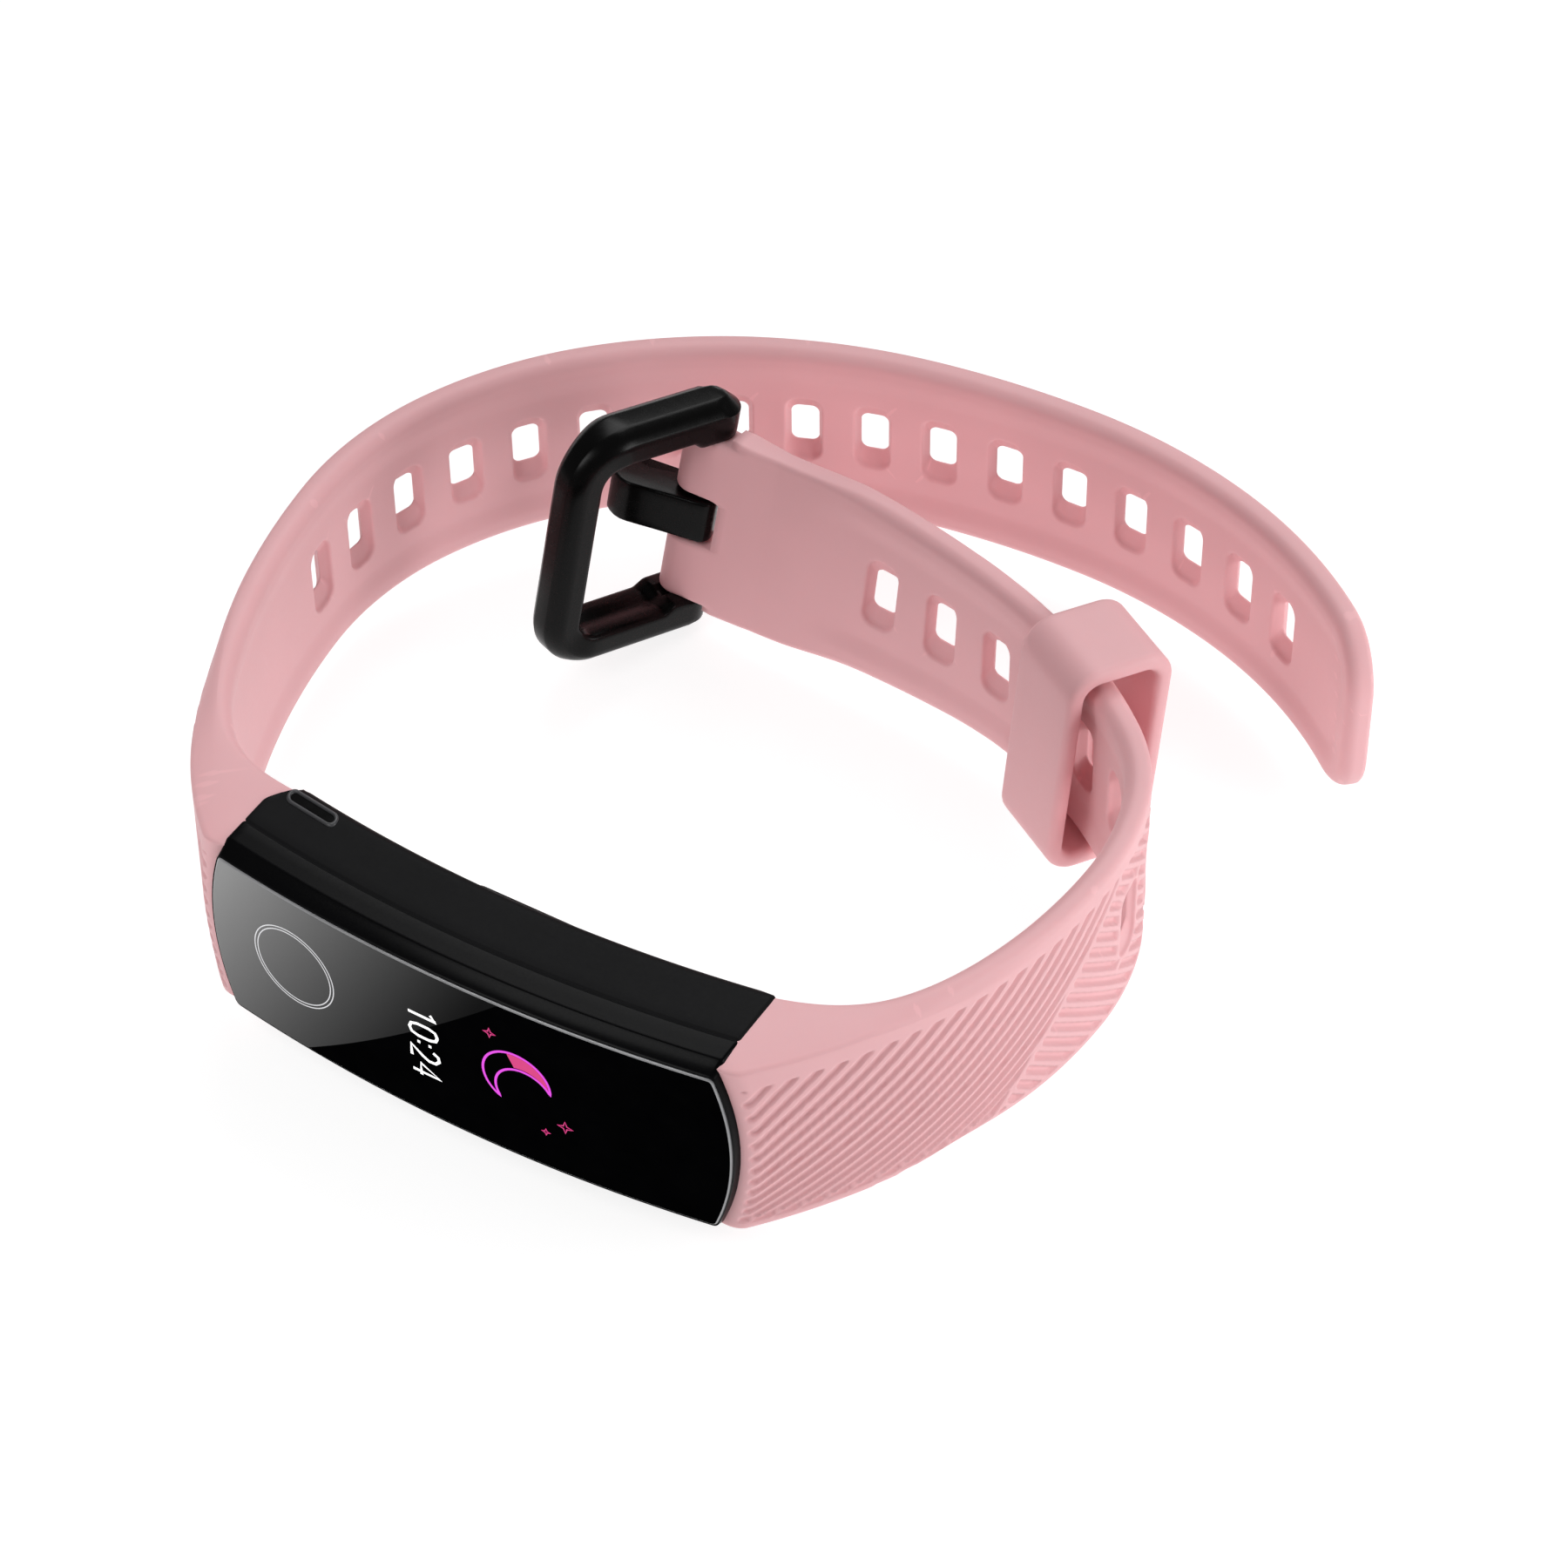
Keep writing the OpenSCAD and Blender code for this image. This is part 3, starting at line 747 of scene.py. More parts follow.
def dist_short(s, z):
    r = s_real(s)
    a = np.abs(z)
    D = halfw_short(s) - a
    D2 = np.where(r < S_SH, np.hypot(S_SH - r, np.maximum(W_E - a, 0)), W_E - a)
    D = np.minimum(D, np.where(r > S_SH - 3, D2, 9))
    D3 = np.where(r < S_NO, np.hypot(S_NO - r, np.maximum(a - W_N, 0)), a - W_N)
    D = np.minimum(D, np.where(r > S_NO - 3, D3, 9))
    return np.maximum(D, 0)


def gap_short(s):
    """thickness between the outer and inner paths"""
    ox, oy = end_xy(PO, s)
    ix, iy = end_xy(PI_, s)
    return np.where(s <= S_KN, t_of(s), np.hypot(ix - ox, iy - oy))


def outer_short(s, z):
    D = dist_short(s, z)
    h = ribs(s, z, D, 6.5, 84.0, SHORT_HOLES)
    g = gap_short(s)
    return rounding(D, 0.45) * np.minimum(1, g / 1.2) + h + shoulder(s, D) + lip(s, z)


def inner_short(s, z):
    D = dist_short(s, z)
    g = gap_short(s)
    r = 0.45 + 0.6 * sstep(3, 14, s)
    e = sstep(80, 88, s_real(s))
    c = channel(s, D) * (1 - e)
    rr = r * (1 - e) + 0.45 * e
    return g - rounding(D, rr) * np.minimum(1, g / 1.2) - c


def place_short(s, z, d):
    s, z, d = np.broadcast_arrays(np.asarray(s, float), z, d)
    ss = root_shift(s, z)
    X, Y, H = short_curve(np.minimum(ss, S_KN))
    x, y = X - np.sin(H) * d, Y + np.cos(H) * d
    ox, oy = end_xy(PO, s)
    ix, iy = end_xy(PI_, s)
    g = np.maximum(np.hypot(ix - ox, iy - oy), 1e-6)
    ex, ey = ox + (ix - ox) * d / g, oy + (iy - oy) * d / g
    m = s > S_KN
    P = np.stack([np.where(m, ex, x), np.where(m, ey, y), z], -1)
    f = np.interp(s, [64, 68, 72, 76, 80, 84, 88, 92, 95], [0, 0.06, 0.19, 0.38, 0.59, 0.78, 0.91, 0.98, 1.0])
    tc = t_of(s) / 2
    mx, my = X - np.sin(H) * tc, Y + np.cos(H) * tc
    g1 = sstep(82, 92, s)
    c = np.stack([mx + (PIN[0] - mx) * g1, my + (PIN[1] - my) * g1], -1)
    return lean(P, c, f)


cols_short = columns(W_S, [[-W_N, W_N, -W_N - 0.1, W_N + 0.1, W_N + 0.28, -W_N - 0.28, -W_E, W_E, W_E - 0.08, 0.08 - W_E, W_E - 0.25, 0.25 - W_E]])


def drop_short(s, z):
    r = s_real(s)
    return ((r > S_SH) & (np.abs(z) > W_E)) | ((r > S_NO) & (np.abs(z) < W_N))


strap_short = strap_mesh("strap_short_silicone", rows_short, cols_short, halfw_short, place_short,
                         outer_short, inner_short, SHORT_HOLES, drop_short)
finish_piece(strap_short, "band", M["silicone_pink"], ["strap_short"])


# ---------------------------------------------------------------- keeper loop
def rounded_loop(hy, hz, r, n=9):
    """closed loop of points (y, z) round a rounded rectangle"""
    pts = []
    for cy, cz, a0 in ((hy - r, hz - r, 0), (-(hy - r), hz - r, 90), (-(hy - r), -(hz - r), 180), (hy - r, -(hz - r), 270)):
        for k in range(n + 1):
            a = math.radians(a0 + 90 * k / n)
            pts.append((cy + r * math.cos(a), cz + r * math.sin(a)))
    out = []
    m = len(pts)
    for k in range(m):
        p, q = np.array(pts[k]), np.array(pts[(k + 1) % m])
        d = np.hypot(*(q - p))
        steps = max(1, int(round(d / 0.7)))
        for j in range(steps):
            out.append(p + (q - p) * j / steps)
    return np.array(out)


kx, ky, kh = [float(v[0]) for v in short_curve(np.array([58.0]))]
kT, kN = np.array([math.cos(kh), math.sin(kh), 0]), np.array([-math.sin(kh), math.cos(kh), 0])
kL = math.radians(5)
kC = np.array([kx, ky, 0]) + kN * 0.45
kV = kN * math.cos(kL) + np.array([0, 0, math.sin(kL)])
kU = np.array([0, 0, math.cos(kL)]) - kN * math.sin(kL)


def keeper_pt(x, y, z):
    return kC + np.multiply.outer(x, kT) + np.multiply.outer(y, kV) + np.multiply.outer(z, kU)


def keeper_mesh():
    HL, r = 3.8, 0.62
    base_o = rounded_loop(4.5, 9.95, 2.3)
    unit = rounded_loop(3.8, 9.25, 1.9)          # middle of the wall
    n = len(unit)
    # outward direction of each middle point
    d = np.roll(unit, -1, 0) - np.roll(unit, 1, 0)
    nrm = np.stack([d[:, 1], -d[:, 0]], 1)
    nrm /= np.hypot(nrm[:, 0], nrm[:, 1])[:, None]
    if (nrm * unit).sum() < 0:
        nrm = -nrm
    prof = []
    half = 0.7
    for a in np.linspace(0, math.pi / 2, 7):      # outer, near end
        prof.append((-HL + r - r * math.cos(a), half - r + r * math.sin(a)))
    for x in np.linspace(-HL + r, HL - r, 11)[1:-1]:
        prof.append((x, half))
    for a in np.linspace(math.pi / 2, 0, 7):
        prof.append((HL - r + r * math.cos(a), half - r + r * math.sin(a)))
    for a in np.linspace(0, math.pi / 2, 7):
        prof.append((HL - r + r * math.cos(a), -half + r - r * math.sin(a)))
    for x in np.linspace(HL - r, -HL + r, 11)[1:-1]:
        prof.append((x, -half))
    for a in np.linspace(math.pi / 2, 0, 7):
        prof.append((-HL + r - r * math.cos(a), -half + r - r * math.sin(a)))
    loops = []
    for x, o in prof:
        yz = unit + nrm * o
        yy, zz = yz[:, 0].copy(), yz[:, 1].copy()
        if o < -half + 0.05:
            # soft locating bumps on both inner walls
            for sgn, zc, hh in ((-1, 0.0, 0.55), (1, 1.2, 0.45)):
                m = (np.sign(yy) == sgn) & (np.abs(zz) < 7)
                b = hh * np.exp(-(((x / 1.5) ** 2) + ((zz - zc) / 2.3) ** 2) ** 1.5)
                yy = np.where(m, yy - sgn * b, yy)
        loops.append(keeper_pt(np.full(n, x), yy, zz))
    V, q, t = loft(loops, join_ends=True)
    return make_mesh("keeper_loop_silicone", V, q, t, weld=0.001)


keeper = keeper_mesh()
finish_piece(keeper, "keeper", M["silicone_pink"], ["keeper_loop"])


# ---------------------------------------------------------------- buckle frame and tang
def at_pin(u, v, w, ang):
    """point in the leaned buckle frame: u along the direction ang in plan, v across it, w along the pin"""
    ca, sa = math.cos(ang), math.sin(ang)
    x = PIN[0] + u * ca - v * sa
    y = PIN[1] + u * sa + v * ca
    P = np.stack(np.broadcast_arrays(x, y, w), -1)
    return lean(P, PIN)


FR_A = math.radians(249.5)


FR_L, FR_H, FR_W, FR_T = 12.8, 9.5, 1.45, 1.75    # pin to bar, pin to arm middle, half width, half thickness


def frame_path():
    """centre line of the buckle frame in its own plane: (u, w)"""
    pts = [(u, FR_H) for u in np.concatenate([-2.25 * np.cos(np.linspace(0, math.pi / 2, 10)), np.linspace(0, 3.4, 13)[1:]])]
    r = 3.8
    pts += [(u, FR_H) for u in np.linspace(3.4, FR_L - r, 9)[1:]]
    for a in np.linspace(90, 0, 15)[1:]:
        pts.append((FR_L - r + r * math.cos(math.radians(a)), FR_H - r + r * math.sin(math.radians(a))))
    r2 = 2.9
    pts += [(FR_L, z) for z in np.linspace(FR_H - r, -(FR_H - r2), 19)[1:]]
    for a in np.linspace(0, -90, 15)[1:]:
        pts.append((FR_L - r2 + r2 * math.cos(math.radians(a)), -(FR_H - r2) + r2 * math.sin(math.radians(a))))
    pts += [(u, -FR_H) for u in np.linspace(FR_L - r2, 3.4, 9)[1:]]
    pts += [(u, -FR_H) for u in np.concatenate([np.linspace(3.4, 0, 13)[1:], -2.25 * np.sin(np.linspace(0, math.pi / 2, 10))[1:]])]
    return np.array(pts)


def frame_section():
    """closed section: (outwards in the plane, across the plane); bevelled outside, small radii inside"""
    w, t = FR_W, FR_T
    bo, bi = 1.05, 0.42
    P = []
    def corner(cx, cy, r, a0, n=4):
        for k in range(n + 1):
            a = math.radians(a0 + 90 * k / n)
            P.append((cx + r * math.cos(a), cy + r * math.sin(a)))
    def bevel(x0, y0, x1, y1):
        # flat bevel with softly rounded ends
        for f in (0.0, 0.12, 0.3, 0.5, 0.7, 0.88, 1.0):
            q = 0.14 * math.sin(math.pi * f)
            nx, ny = (y1 - y0), -(x1 - x0)
            n = math.hypot(nx, ny)
            P.append((x0 + (x1 - x0) * f + nx / n * q, y0 + (y1 - y0) * f + ny / n * q))
    P.append((w, -(t - bo) + 0.1))
    P.append((w, 0.0))
    P.append((w, (t - bo) - 0.1))
    bevel(w - 0.02, t - bo, w - bo, t - 0.02)
    P.append((0.0, t))
    P.append((-(w - bi) + 0.1, t))
    corner(-(w - bi), t - bi, bi, 90)
    P.append((-w, 0.6))
    P.append((-w + 0.22, 0.25))
    P.append((-w + 0.22, -0.25))
    P.append((-w, -0.6))
    corner(-(w - bi), -(t - bi), bi, 180)
    P.append((-(w - bi) + 0.1, -t))
    P.append((0.0, -t))
    bevel(w - bo, -(t - 0.02), w - 0.02, -(t - bo))
    return np.array(P)


def buckle_frame_mesh():
    C = frame_path()
    T = np.gradient(C, axis=0)
    T /= np.hypot(T[:, 0], T[:, 1])[:, None]
    Nn = np.stack([-T[:, 1], T[:, 0]], 1)            # in the plane; points outwards on this path
    sec = frame_section()
    loops = []
    for k in range(len(C)):
        u = C[k, 0]
        hv = FR_T + 0.5 * float(sstep(FR_L, FR_L - 3.2, u))
        a, b = sec[:, 0], sec[:, 1]
        if abs(C[k, 1]) > FR_H - 0.5:
            if u < 0:
                hv = max(math.sqrt(max(2.25 ** 2 - u * u, 0)), 0.15)
            a = np.where(a < 0, a * (1 + 0.45 * float(sstep(3.2, 2.0, u))), a)
        bb = b / FR_T * hv
        if u < 0 and abs(C[k, 1]) > FR_H - 0.5:      # the bevel runs on round the end
            a = np.minimum(a, FR_W - 1.05 * np.clip((np.hypot(u, bb) - 0.9) / 1.35, 0, 1))
        P = C[k][None, :] + Nn[k][None, :] * a[:, None]
        loops.append(at_pin(P[:, 0], bb, P[:, 1], FR_A))
    V, q, t = loft(loops)
    ob = make_mesh("buckle_frame_black", V, q, t, weld=0.001, sharp=32)
    return ob


bframe = buckle_frame_mesh()
finish_piece(bframe, "buckle_frame_body", M["buckle_black"], ["buckle_frame"])


def arc_pts(cx, cy, r, a0, a1, n):
    a = np.radians(np.linspace(a0, a1, n))
    return np.stack([cx + r * np.cos(a), cy + r * np.sin(a)], 1)


def extrude_profile(name, outline, w0, w1, bevel, ang, sharp=40, steps=4):
    """outline (n,2) closed counter-clockwise in (u, v); extruded along the pin with rounded rims"""
    o = np.asarray(outline, float)
    d = np.roll(o, -1, 0) - np.roll(o, 1, 0)
    nr = np.stack([d[:, 1], -d[:, 0]], 1)
    nr /= np.maximum(np.hypot(nr[:, 0], nr[:, 1]), 1e-9)[:, None]
    loops = []
    for a in np.linspace(0, math.pi / 2, steps + 1):
        loops.append((w0 + bevel * (1 - math.sin(a)), bevel * (1 - math.cos(a))))
    prof = [(w0 + bevel - bevel * math.cos(a), bevel - bevel * math.sin(a)) for a in np.linspace(0, math.pi / 2, steps + 1)]
    prof += [(w, 0.0) for w in np.linspace(w0 + bevel, w1 - bevel, 6)[1:-1]]
    prof += [(w1 - bevel + bevel * math.sin(a), bevel - bevel * math.cos(a)) for a in np.linspace(0, math.pi / 2, steps + 1)]
    L = [at_pin((o - nr * i)[:, 0], (o - nr * i)[:, 1], np.full(len(o), w), ang) for w, i in prof]
    n = len(o)
    V = np.concatenate(L)
    q = []
    i = np.arange(n)
    for k in range(len(L) - 1):
        q.append(np.stack([k * n + i, k * n + (i + 1) % n, (k + 1) * n + (i + 1) % n, (k + 1) * n + i], 1))
    ob = make_mesh(name, V, np.concatenate(q))
    bm = bmesh.new()
    bm.from_mesh(ob.data)
    bm.verts.ensure_lookup_table()
    f0 = bm.faces.new([bm.verts[k] for k in range(n - 1, -1, -1)])
    f1 = bm.faces.new([bm.verts[(len(L) - 1) * n + k] for k in range(n)])
    bmesh.ops.triangulate(bm, faces=[f0, f1], ngon_method="EAR_CLIP")
    bmesh.ops.recalc_face_normals(bm, faces=bm.faces)
    for f in bm.faces:
        f.smooth = True
    for e in bm.edges:
        if len(e.link_faces) == 2 and e.calc_face_angle(0) > math.radians(sharp):
            e.smooth = False
    bm.to_mesh(ob.data)
    bm.free()
    return ob


def tang_outline():
    P = [np.array([[1.15, -2.0], [1.36, -1.93], [1.58, -1.77], [1.76, -1.57], [1.89, -1.32], [1.96, -0.95], [1.97, -0.4]]), arc_pts(0, 0, 1.95, 0, 128, 20)]
    # back of the bar, from the ring towards the tip
    P.append(np.array([[-1.7, 1.52], [-2.4, 1.42], [-3.3, 1.28], [-4.3, 1.2], [-4.9, 1.34], [-5.35, 1.62], [-5.75, 2.15]]))
    P.append(arc_pts(-6.1, 2.12, 0.36, 20, 165, 7))
    P.append(np.array([[-6.66, 1.6], [-6.85, 0.8], [-6.92, 0.2], [-6.9, -0.3]]))
    P.append(np.array([[-6.78, -0.75], [-6.45, -1.2], [-5.95, -1.65], [-5.4, -1.92], [-4.8, -2.0], [-3.8, -2.0], [-2.6, -1.98], [-1.2, -1.98], [0.2, -2.0]]))
    return np.concatenate(P)


tang = extrude_profile("buckle_tang_black", tang_outline(), -1.85, 1.85, 0.24, math.radians(15))
finish_piece(tang, "buckle_tang_body", M["buckle_black"], ["buckle_tang"])


# ---------------------------------------------------------------- capsule
def cap_pt(x, z, d):
    """point on the bowed capsule: d behind the front of the glass"""
    x, z, d = np.broadcast_arrays(np.asarray(x, float), z, d)
    y = YC - np.sqrt((130 - d) ** 2 - x * x)
    return np.stack([x, y, z], -1)


def cap_outline(hz, end, R, rc, ne=41, nc=7, ns=81):
    """loop of (x, z): sides at +-hz, bowed ends of radius R reaching x = end, corners rc"""
    cx = end - R
    zc = hz - rc
    xc = cx + math.sqrt((R - rc) ** 2 - zc * zc)
    a1 = math.degrees(math.atan2(zc, xc - cx))
    q = [arc_pts(cx, 0, R, -a1, a1, ne)]
    q.append(arc_pts(xc, zc, rc, a1, 90, nc)[1:])
    q.append(np.stack([np.linspace(xc, -xc, ns)[1:], np.full(ns - 1, hz)], 1))
    q.append(arc_pts(-xc, zc, rc, 90, 180 - a1, nc)[1:])
    q.append(arc_pts(-cx, 0, R, 180 - a1, 180 + a1, ne)[1:])
    q.append(arc_pts(-xc, -zc, rc, 180 + a1, 270, nc)[1:])
    q.append(np.stack([np.linspace(-xc, xc, ns)[1:], np.full(ns - 1, -hz)], 1))
    q.append(arc_pts(xc, -zc, rc, 270, 360 - a1, nc)[1:-1])
    return np.concatenate(q)


GLASS_O = cap_outline(7.77, 22.05, 23.2, 0.5)
FRAME_O = cap_outline(8.6, 22.45, 22.6, 0.4)


def normals_of(o):
    d = np.roll(o, -1, 0) - np.roll(o, 1, 0)
    nr = np.stack([d[:, 1], -d[:, 0]], 1)
    return nr / np.hypot(nr[:, 0], nr[:, 1])[:, None]


def cap_levels(name, loops, closed_ring=False, sharp=None):
    """loops: list of (outline points, depth); a solid with filled ends, or a closed ring"""
    L = [cap_pt(p[:, 0], p[:, 1], d) for p, d in loops]
    if not closed_ring:
        def fill(p, d, fs):
            return [cap_pt(p[:, 0] * (0.9 + 0.1 * f), p[:, 1] * f, d) for f in fs]
        L = fill(*loops[0], (0.0, 0.25, 0.5, 0.75, 0.92)) + L + fill(*loops[-1], (0.92, 0.75, 0.5, 0.25, 0.0))
    V, q, t = loft(L, join_ends=closed_ring, cap0=False, cap1=False)
    return make_mesh(name, V, q, weld=0.0008, sharp=sharp)


# cover glass: polished, its rim rolled over
GN, FN = normals_of(GLASS_O), normals_of(FRAME_O)
gl = []
for a in np.linspace(90, 0, 8):
    a = math.radians(a)
    gl.append((GLASS_O - GN * 0.26 * (1 - math.cos(a)), 0.22 * (1 - math.sin(a))))
gl += [(GLASS_O, 0.6), (GLASS_O, 0.95), (GLASS_O - GN * 0.05, 1.0)]
cover = cap_levels("cover_glass_polished", gl, sharp=60)
finish_piece(cover, "band", M["glass"], ["cover_glass"])
# painted highlight: the rolled rim of the glass takes the light grey rim colour
cover.data.materials.append(rim.m)
for poly in cover.data.polygons:                      # the rolled rim catches the light
    if abs(poly.normal.y) < 0.9 and poly.center.y < world([[0, 1.6, 0]])[0][1] + 0.0:
        poly.material_index = 1


# front frame: bevelled rim round the glass; share 1 is the glass outline, 0 the outside of the case
def between(f):
    return FRAME_O + (GLASS_O + GN * 0.03 - FRAME_O) * f


fl = [(between(1), 1.15), (between(1), 0.30), (between(0.97), 0.16), (between(0.92), 0.10), (between(0.85), 0.12)]
for a in np.linspace(0, 1, 8)[1:]:
    fl.append((between(0.85 - 0.79 * a + 0.07 * math.sin(math.pi * a)), 0.12 + 1.22 * a))
fl += [(between(0.025), 1.40), (between(0.0), 1.50), (FRAME_O, 1.62), (FRAME_O, 2.4), (FRAME_O, 3.2)]
fl += [(FRAME_O - FN * i, d) for i, d in ((0.03, 3.38), (0.085, 3.43), (0.09, 3.28), (0.8, 3.26), (1.15, 3.24), (1.15, 2.2), (1.15, 1.15))]
front = cap_levels("front_frame_bezel", fl, closed_ring=True, sharp=60)
finish_piece(front, "band", M["frame_black"], ["upper_frame"])


# rear case: its sides grow deeper towards both ends; rolled back edge and a raised middle
def deep(d):
    """depth limited near both ends, where the straps take over"""
    x = np.abs(FRAME_O[:, 0])
    top = np.where(FRAME_O[:, 0] < 0, np.interp(x, [15.5, 17.5, 18.4, 19, 19.6, 20.2, 20.8], [9.9, 9.6, 9.1, 8.45, 7.65, 6.8, 5.7]),
                   9.9 - 1.5 * sstep(16.5, 20.4, x))
    return np.minimum(d, top)


rl = [(FRAME_O - FN * i, d) for i, d in ((1.15, 3.30), (0.4, 3.30), (0.085, 3.36), (0.085, 3.50), (0.03, 3.56))]
rl += [(FRAME_O, 3.7), (FRAME_O, 4.6), (FRAME_O, deep(5.6)), (FRAME_O, deep(6.6)), (FRAME_O, deep(7.6))]
for a in np.linspace(10, 80, 8):
    a = math.radians(a)
    rl.append((FRAME_O - FN * 1.05 * (1 - math.cos(a)), deep(7.75 + 1.1 * math.sin(a))))
rl += [(FRAME_O - FN * i, deep(d)) for i, d in ((1.2, 8.9), (1.8, 8.98), (2.2, 9.1), (2.5, 9.5), (2.75, 10.0), (3.05, 10.25), (3.5, 10.35), (4.2, 10.4))]
rear = cap_levels("rear_case_shell", rl, sharp=60)
finish_piece(rear, "band", M["case_grey"], ["rear_case"])


# sensor window on the back
def sensor_pad():
    L = []
    for inset, y in ((0.0, 8.4), (0.0, 9.7), (0.05, 9.82), (0.14, 9.9), (0.3, 9.95), (0.6, 9.97), (0.7, 9.97), (1.4, 9.97)):
        o = rounded_loop(5.5, 4.75, 1.0) * np.array([1 - inset / 5.5, 1 - inset / 4.75])
        L.append(np.stack([o[:, 0], np.full(len(o), y), o[:, 1]], 1))
    V, q, t = loft(L, cap0=True, cap1=True)
    return make_mesh("sensor_window_lens", V, q, t, weld=0.0008, sharp=60)


pad = sensor_pad()
finish_piece(pad, "band", M["sensor_lens"], ["sensor_window"])


# the two charging contacts come up through the back of the shell
def contacts_mesh():
    V, Q, T = [], [], []
    a = np.linspace(0, 2 * math.pi, 33)[:-1]
    for z in (-2.2, 2.2):
        L = [np.stack([-14.5 + r * np.cos(a), np.full(32, y), z + r * np.sin(a)], 1)
             for r, y in ((0.87, 7.4), (0.87, 8.6), (0.87, 9.23), (0.80, 9.29))]
        v, q, t = loft(L)
        n = sum(len(x) for x in V)
        V.append(v)
        Q.append(q + n)
        T.append(t + n)
    return make_mesh("charging_contact_pads", np.concatenate(V), np.concatenate(Q), np.concatenate(T), sharp=40)


finish_piece(contacts_mesh(), "band", M["gold"], ["charging_contacts"])


# a shallow slot with a raised lip on both sides near the left end
def slot_mesh(name, side, kind):
    ang = math.atan2(-16.6, 117)                     # direction of the side there
    ca, sa = math.cos(ang), math.sin(ang)
    L = []
    prof = ((0.44, -0.25), (0.43, 0.03), (0.37, 0.12), (0.27, 0.15), (0.17, 0.12), (0.12, 0.02), (0.10, -0.25)) if kind == "lip" else \
        ((0.12, -0.2), (0.12, 0.006), (0.06, 0.012))
    for g, h in prof:
        o = rounded_loop(1.95 + g, 0.28 + g, min(0.28 + g, 0.6) * 0.98, 6)
        x = -17.15 + o[:, 0] * ca + o[:, 1] * sa
        y = 7.0 + o[:, 0] * sa + o[:, 1] * ca
        L.append(np.stack([x, y, np.full(len(o), side * (8.6 + h))], 1))
    V, q, t = loft(L, join_ends=kind == "lip")
    return V, q, t


for kind, nm, mt, sl in (("lip", "side_slot_lips", "slot_lip", "case_grey"), ("floor", "side_slot_floors", "slot_dark", "seal")):
    A = slot_mesh(nm, 1, kind)
    B = slot_mesh(nm, -1, kind)
    nA = len(A[0])
    tt = None if A[2] is None else np.concatenate([A[2], B[2] + nA])
    ob = make_mesh(nm, np.concatenate([A[0], B[0]]), np.concatenate([A[1], B[1] + nA]), tt, sharp=50)
    finish_piece(ob, "band", M[mt])


# ---------------------------------------------------------------- markings under the glass
def ribbon(name, pts, width, mat, closed=False, lift=0.012):
    """thin raised line on the glass: pts (n,2) in (x, z)"""
    pts = np.asarray(pts, float)
    if closed:
        d = np.roll(pts, -1, 0) - np.roll(pts, 1, 0)
    else:
        d = np.gradient(pts, axis=0)
    nr = np.stack([-d[:, 1], d[:, 0]], 1)
    nr /= np.maximum(np.hypot(nr[:, 0], nr[:, 1]), 1e-9)[:, None]
    a, b = pts + nr * width / 2, pts - nr * width / 2
    return a, b


def ribbons_mesh(name, strokes, mat, lift=0.014):
    """strokes: list of (pts, width, closed)"""
    V, Q, base = [], [], 0
    for pts, width, closed in strokes:
        a, b = ribbon(name, pts, width, mat, closed)
        n = len(a)
        sets = [cap_pt(a[:, 0], a[:, 1], 0.03), cap_pt(a[:, 0], a[:, 1], -lift), cap_pt(b[:, 0], b[:, 1], -lift), cap_pt(b[:, 0], b[:, 1], 0.03)]
        V += sets
        i = np.arange(n if closed else n - 1)
        j = (i + 1) % n
        for k in range(4):
            p, r = base + k * n, base + ((k + 1) % 4) * n
            Q.append(np.stack([p + i, p + j, r + j, r + i], 1))
        if not closed:
            Q.append(np.array([[base, base + n, base + 2 * n, base + 3 * n], [base + n - 1, base + 4 * n - 1, base + 3 * n - 1, base + 2 * n - 1]]))
        base += 4 * n
    ob = make_mesh(name, np.concatenate(V), np.concatenate(Q), smooth=False)
    finish_piece(ob, "band", mat)
    return ob


def circle_pts(cx, cz, r, n=64):
    a = np.linspace(0, 2 * math.pi, n, endpoint=False)
    return np.stack([cx + r * np.cos(a), cz + r * np.sin(a)], 1)


TX, TZ = -14.1, 0.75
ribbons_mesh("touch_key_ring", [(circle_pts(TX, TZ, 3.7), 0.085, True), (circle_pts(TX, TZ, 3.42), 0.085, True)], LIT_RING)


def seg_digit(ch, x, z, w, h):
    """rounded strokes of a plain numeral; its up direction is +x, left to right is -z"""
    A = {
        "0": [[(0.5, 1), (0.85, 0.93), (1, 0.7), (1, 0.3), (0.85, 0.07), (0.5, 0), (0.15, 0.07), (0, 0.3), (0, 0.7), (0.15, 0.93), (0.5, 1)]],
        "1": [[(0.2, 0.8), (0.6, 1), (0.6, 0)]],
        "2": [[(0.05, 0.8), (0.25, 0.97), (0.6, 1), (0.92, 0.85), (0.95, 0.62), (0.7, 0.4), (0.05, 0), (1, 0)]],
        "8": [[(0.5, 1), (0.85, 0.93), (0.92, 0.75), (0.75, 0.56), (0.5, 0.52), (0.25, 0.56), (0.08, 0.75), (0.15, 0.93), (0.5, 1)],
              [(0.5, 0.52), (0.85, 0.45), (1, 0.25), (0.85, 0.06), (0.5, 0), (0.15, 0.06), (0, 0.25), (0.15, 0.45), (0.5, 0.52)]],
        "4": [[(0.75, 0), (0.75, 1), (0, 0.3), (1, 0.3)]],
        "5": [[(0.9, 1), (0.15, 1), (0.1, 0.58), (0.5, 0.65), (0.9, 0.5), (1, 0.28), (0.8, 0.06), (0.4, 0), (0.05, 0.12)]],
    }
    out = []
    for poly in A[ch]:
        p = np.array([(x + b * h, z - a * w) for a, b in poly])
        out.append(p)
    return out


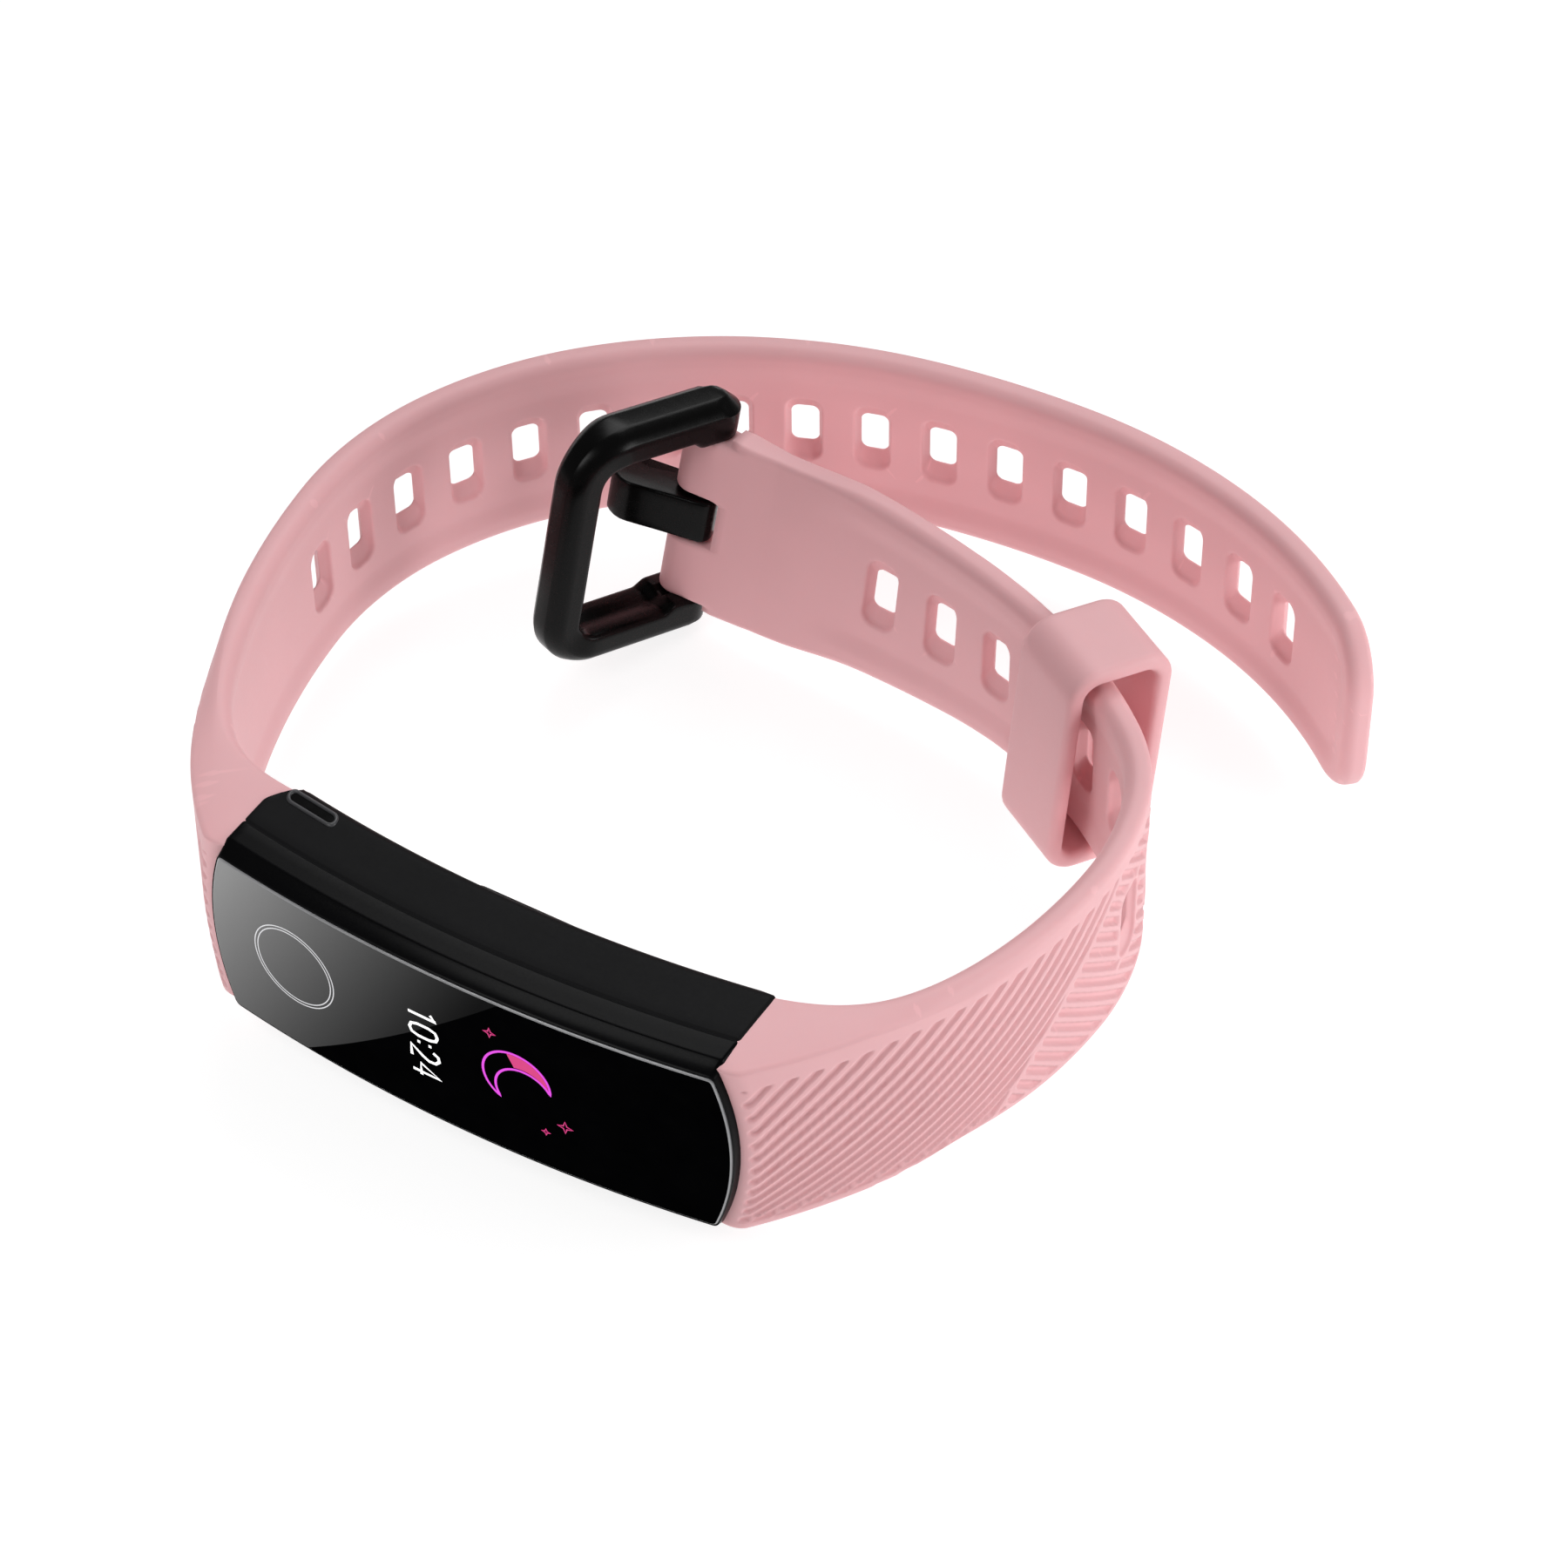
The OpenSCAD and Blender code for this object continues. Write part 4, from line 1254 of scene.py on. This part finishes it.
clock = []
zz = 3.6
for ch in "10:24":
    if ch == ":":
        for f in (0.3, 0.7):
            clock.append((np.array([[-3.55 + 2.4 * f - 0.12, zz - 0.12], [-3.55 + 2.4 * f + 0.12, zz - 0.12]]), 0.26, False))
        zz -= 0.62
        continue
    for p in seg_digit(ch, -3.55, zz, 1.25, 2.4):
        clock.append((p, 0.27, False))
    zz -= 1.78
ribbons_mesh("display_clock_digits", clock, LIT_WHITE)

# crescent of the builder's own: two arcs meeting in points, its lower part filled
def crescent(cx, cz, R, r, off, turn):
    """closed outline: outer arc of radius R, inner arc of radius r shifted by off"""
    c = (R * R - r * r + off * off) / (2 * off)      # where both circles cross
    h = math.sqrt(R * R - c * c)
    a0 = math.atan2(h, c)
    b0 = math.atan2(h, c - off)
    A = np.linspace(a0, 2 * math.pi - a0, 44)
    B = np.linspace(2 * math.pi - b0, b0, 36)[1:-1]
    P = np.concatenate([np.stack([R * np.cos(A), R * np.sin(A)], 1), np.stack([off + r * np.cos(B), r * np.sin(B)], 1)])
    ct, st = math.cos(turn), math.sin(turn)
    return np.stack([cx + P[:, 0] * ct - P[:, 1] * st, cz + P[:, 0] * st + P[:, 1] * ct], 1)


MX, MZ = 5.4, 0.4
cres = crescent(MX, MZ, 2.75, 2.35, 1.25, math.radians(-62))
ribbons_mesh("display_crescent_line", [(cres, 0.2, True)], LIT_MAGENTA)
fan = crescent(MX, MZ, 2.62, 2.42, 1.13, math.radians(-62))
na = 44
fan_o, fan_i = fan[:20], fan[na:][::-1]
k = np.linspace(0, 14, 20)
fan_i = np.stack([np.interp(k, np.arange(len(fan_i)), fan_i[:, 0]), np.interp(k, np.arange(len(fan_i)), fan_i[:, 1])], 1)
FV = np.concatenate([cap_pt(fan_o[:, 0], fan_o[:, 1], -0.006), cap_pt(fan_i[:, 0], fan_i[:, 1], -0.006),
                     cap_pt(fan_o[:, 0], fan_o[:, 1], 0.03), cap_pt(fan_i[:, 0], fan_i[:, 1], 0.03)])
i = np.arange(19)
FQ = [np.stack([i, i + 1, 20 + i + 1, 20 + i], 1), np.stack([40 + i, 60 + i, 60 + i + 1, 40 + i + 1], 1),
      np.stack([i, 40 + i, 40 + i + 1, i + 1], 1), np.stack([20 + i, 20 + i + 1, 60 + i + 1, 60 + i], 1),
      np.array([[0, 20, 60, 40], [19, 59, 79, 39]])]
fill = make_mesh("display_crescent_fill", FV, np.concatenate(FQ), smooth=False)
finish_piece(fill, "band", LIT_ROSE)


def star_pts(cx, cz, r, q=0.32):
    p = []
    for k in range(8):
        a = math.radians(45 * k)
        rr = r if k % 2 == 0 else r * q
        p.append((cx + rr * math.cos(a), cz + rr * math.sin(a)))
    return np.array(p)


ribbons_mesh("display_stars", [(star_pts(3.4, 4.4, 0.5), 0.12, True), (star_pts(9.2, -2.6, 0.62), 0.12, True), (star_pts(7.6, -3.9, 0.36), 0.1, True)], LIT_ROSE)

# ---------------------------------------------------------------- camera, light, floor
TH = -0.5521951788474663
MP = np.array([-22.904036814679323, -25.207230179398373])
UX, UY = np.array([math.cos(TH), math.sin(TH)]), np.array([-math.sin(TH), math.cos(TH)])


def to_local(v, vector=False):
    v = np.asarray(v, float)
    q = v[:2] if vector else v[:2] - MP
    return np.array([q @ UX, q @ UY, v[2]])


E, RO, DIST = math.radians(45.49084818), math.radians(-0.75819976), 361.2964356
back = np.array([0, -math.cos(E), math.sin(E)])
right = np.array([1.0, 0, 0])
up = np.cross(back, right)
R = math.cos(RO) * right + math.sin(RO) * up
U = -math.sin(RO) * right + math.cos(RO) * up
loc = world(to_local(back * DIST))
cam = bpy.data.objects.new("camera", bpy.data.cameras.new("camera"))
cam.data.lens = 5569.39568807718 / 1800 * 36
cam.data.sensor_width = 36
cam.data.clip_start, cam.data.clip_end = 0.01, 20
m3 = np.stack([to_local(R, True), to_local(U, True), to_local(back, True)], 1)
mat = Matrix([list(m3[0]) + [loc[0]], list(m3[1]) + [loc[1]], list(m3[2]) + [loc[2]], [0, 0, 0, 1]])
cam.matrix_world = mat
bpy.context.scene.collection.objects.link(cam)
bpy.context.scene.camera = cam
CAM_R, CAM_U, CAM_B = [Vector(to_local(v, True)) for v in (R, U, back)]


def area(name, direction, dist, size, power, colour=(1, 1, 1), target=(0, 0, 0.01)):
    """direction: (right, up, towards camera) weights in the camera's axes"""
    l = bpy.data.lights.new(name, "AREA")
    l.shape = "RECTANGLE"
    l.size, l.size_y = size
    l.energy = power
    l.color = colour
    o = bpy.data.objects.new(name, l)
    d = (CAM_R * direction[0] + CAM_U * direction[1] + CAM_B * direction[2]).normalized()
    o.location = Vector(target) + d * dist
    o.rotation_mode = "QUATERNION"
    o.rotation_quaternion = d.to_track_quat("Z", "Y")
    bpy.context.scene.collection.objects.link(o)
    return o


area("top", (0.15, 1.0, 0.12), 0.6, (0.4, 0.4), 1.7)
area("front_right", (0.95, 0.1, 0.5), 0.2, (0.10, 0.10), 0.21, target=(0.02, -0.015, 0.01))
area("front_left", (-0.6, 0.25, 0.75), 0.17, (0.07, 0.07), 0.08, target=(0.022, -0.006, 0.012))

w = bpy.data.worlds.new("studio")
bpy.context.scene.world = w
w.use_nodes = True
w.node_tree.nodes["Background"].inputs["Color"].default_value = (1, 1, 1, 1)
w.node_tree.nodes["Background"].inputs["Strength"].default_value = 0.16

floor_me = bpy.data.meshes.new("floor")
F = 1.6
floor_me.from_pydata([(-F, -F, -0.0002), (F, -F, -0.0002), (F, F, -0.0002), (-F, F, -0.0002)], [], [(0, 1, 2, 3)])
floor = bpy.data.objects.new("floor", floor_me)
bpy.context.scene.collection.objects.link(floor)
fm = Mat("floor_mat", (0.3, 0.3, 0.3), rough=0.9, Specular_IOR_Level=0.1)
fn = fm.noise(0.02, 2, 0.5)
fm.colour_variation(fn, 0.006)
fm.b.inputs["Emission Color"].default_value = (1, 1, 1, 1)
fm.b.inputs["Emission Strength"].default_value = 0.85
floor.data.materials.append(fm.m)

bpy.context.scene.view_settings.view_transform = "Standard"
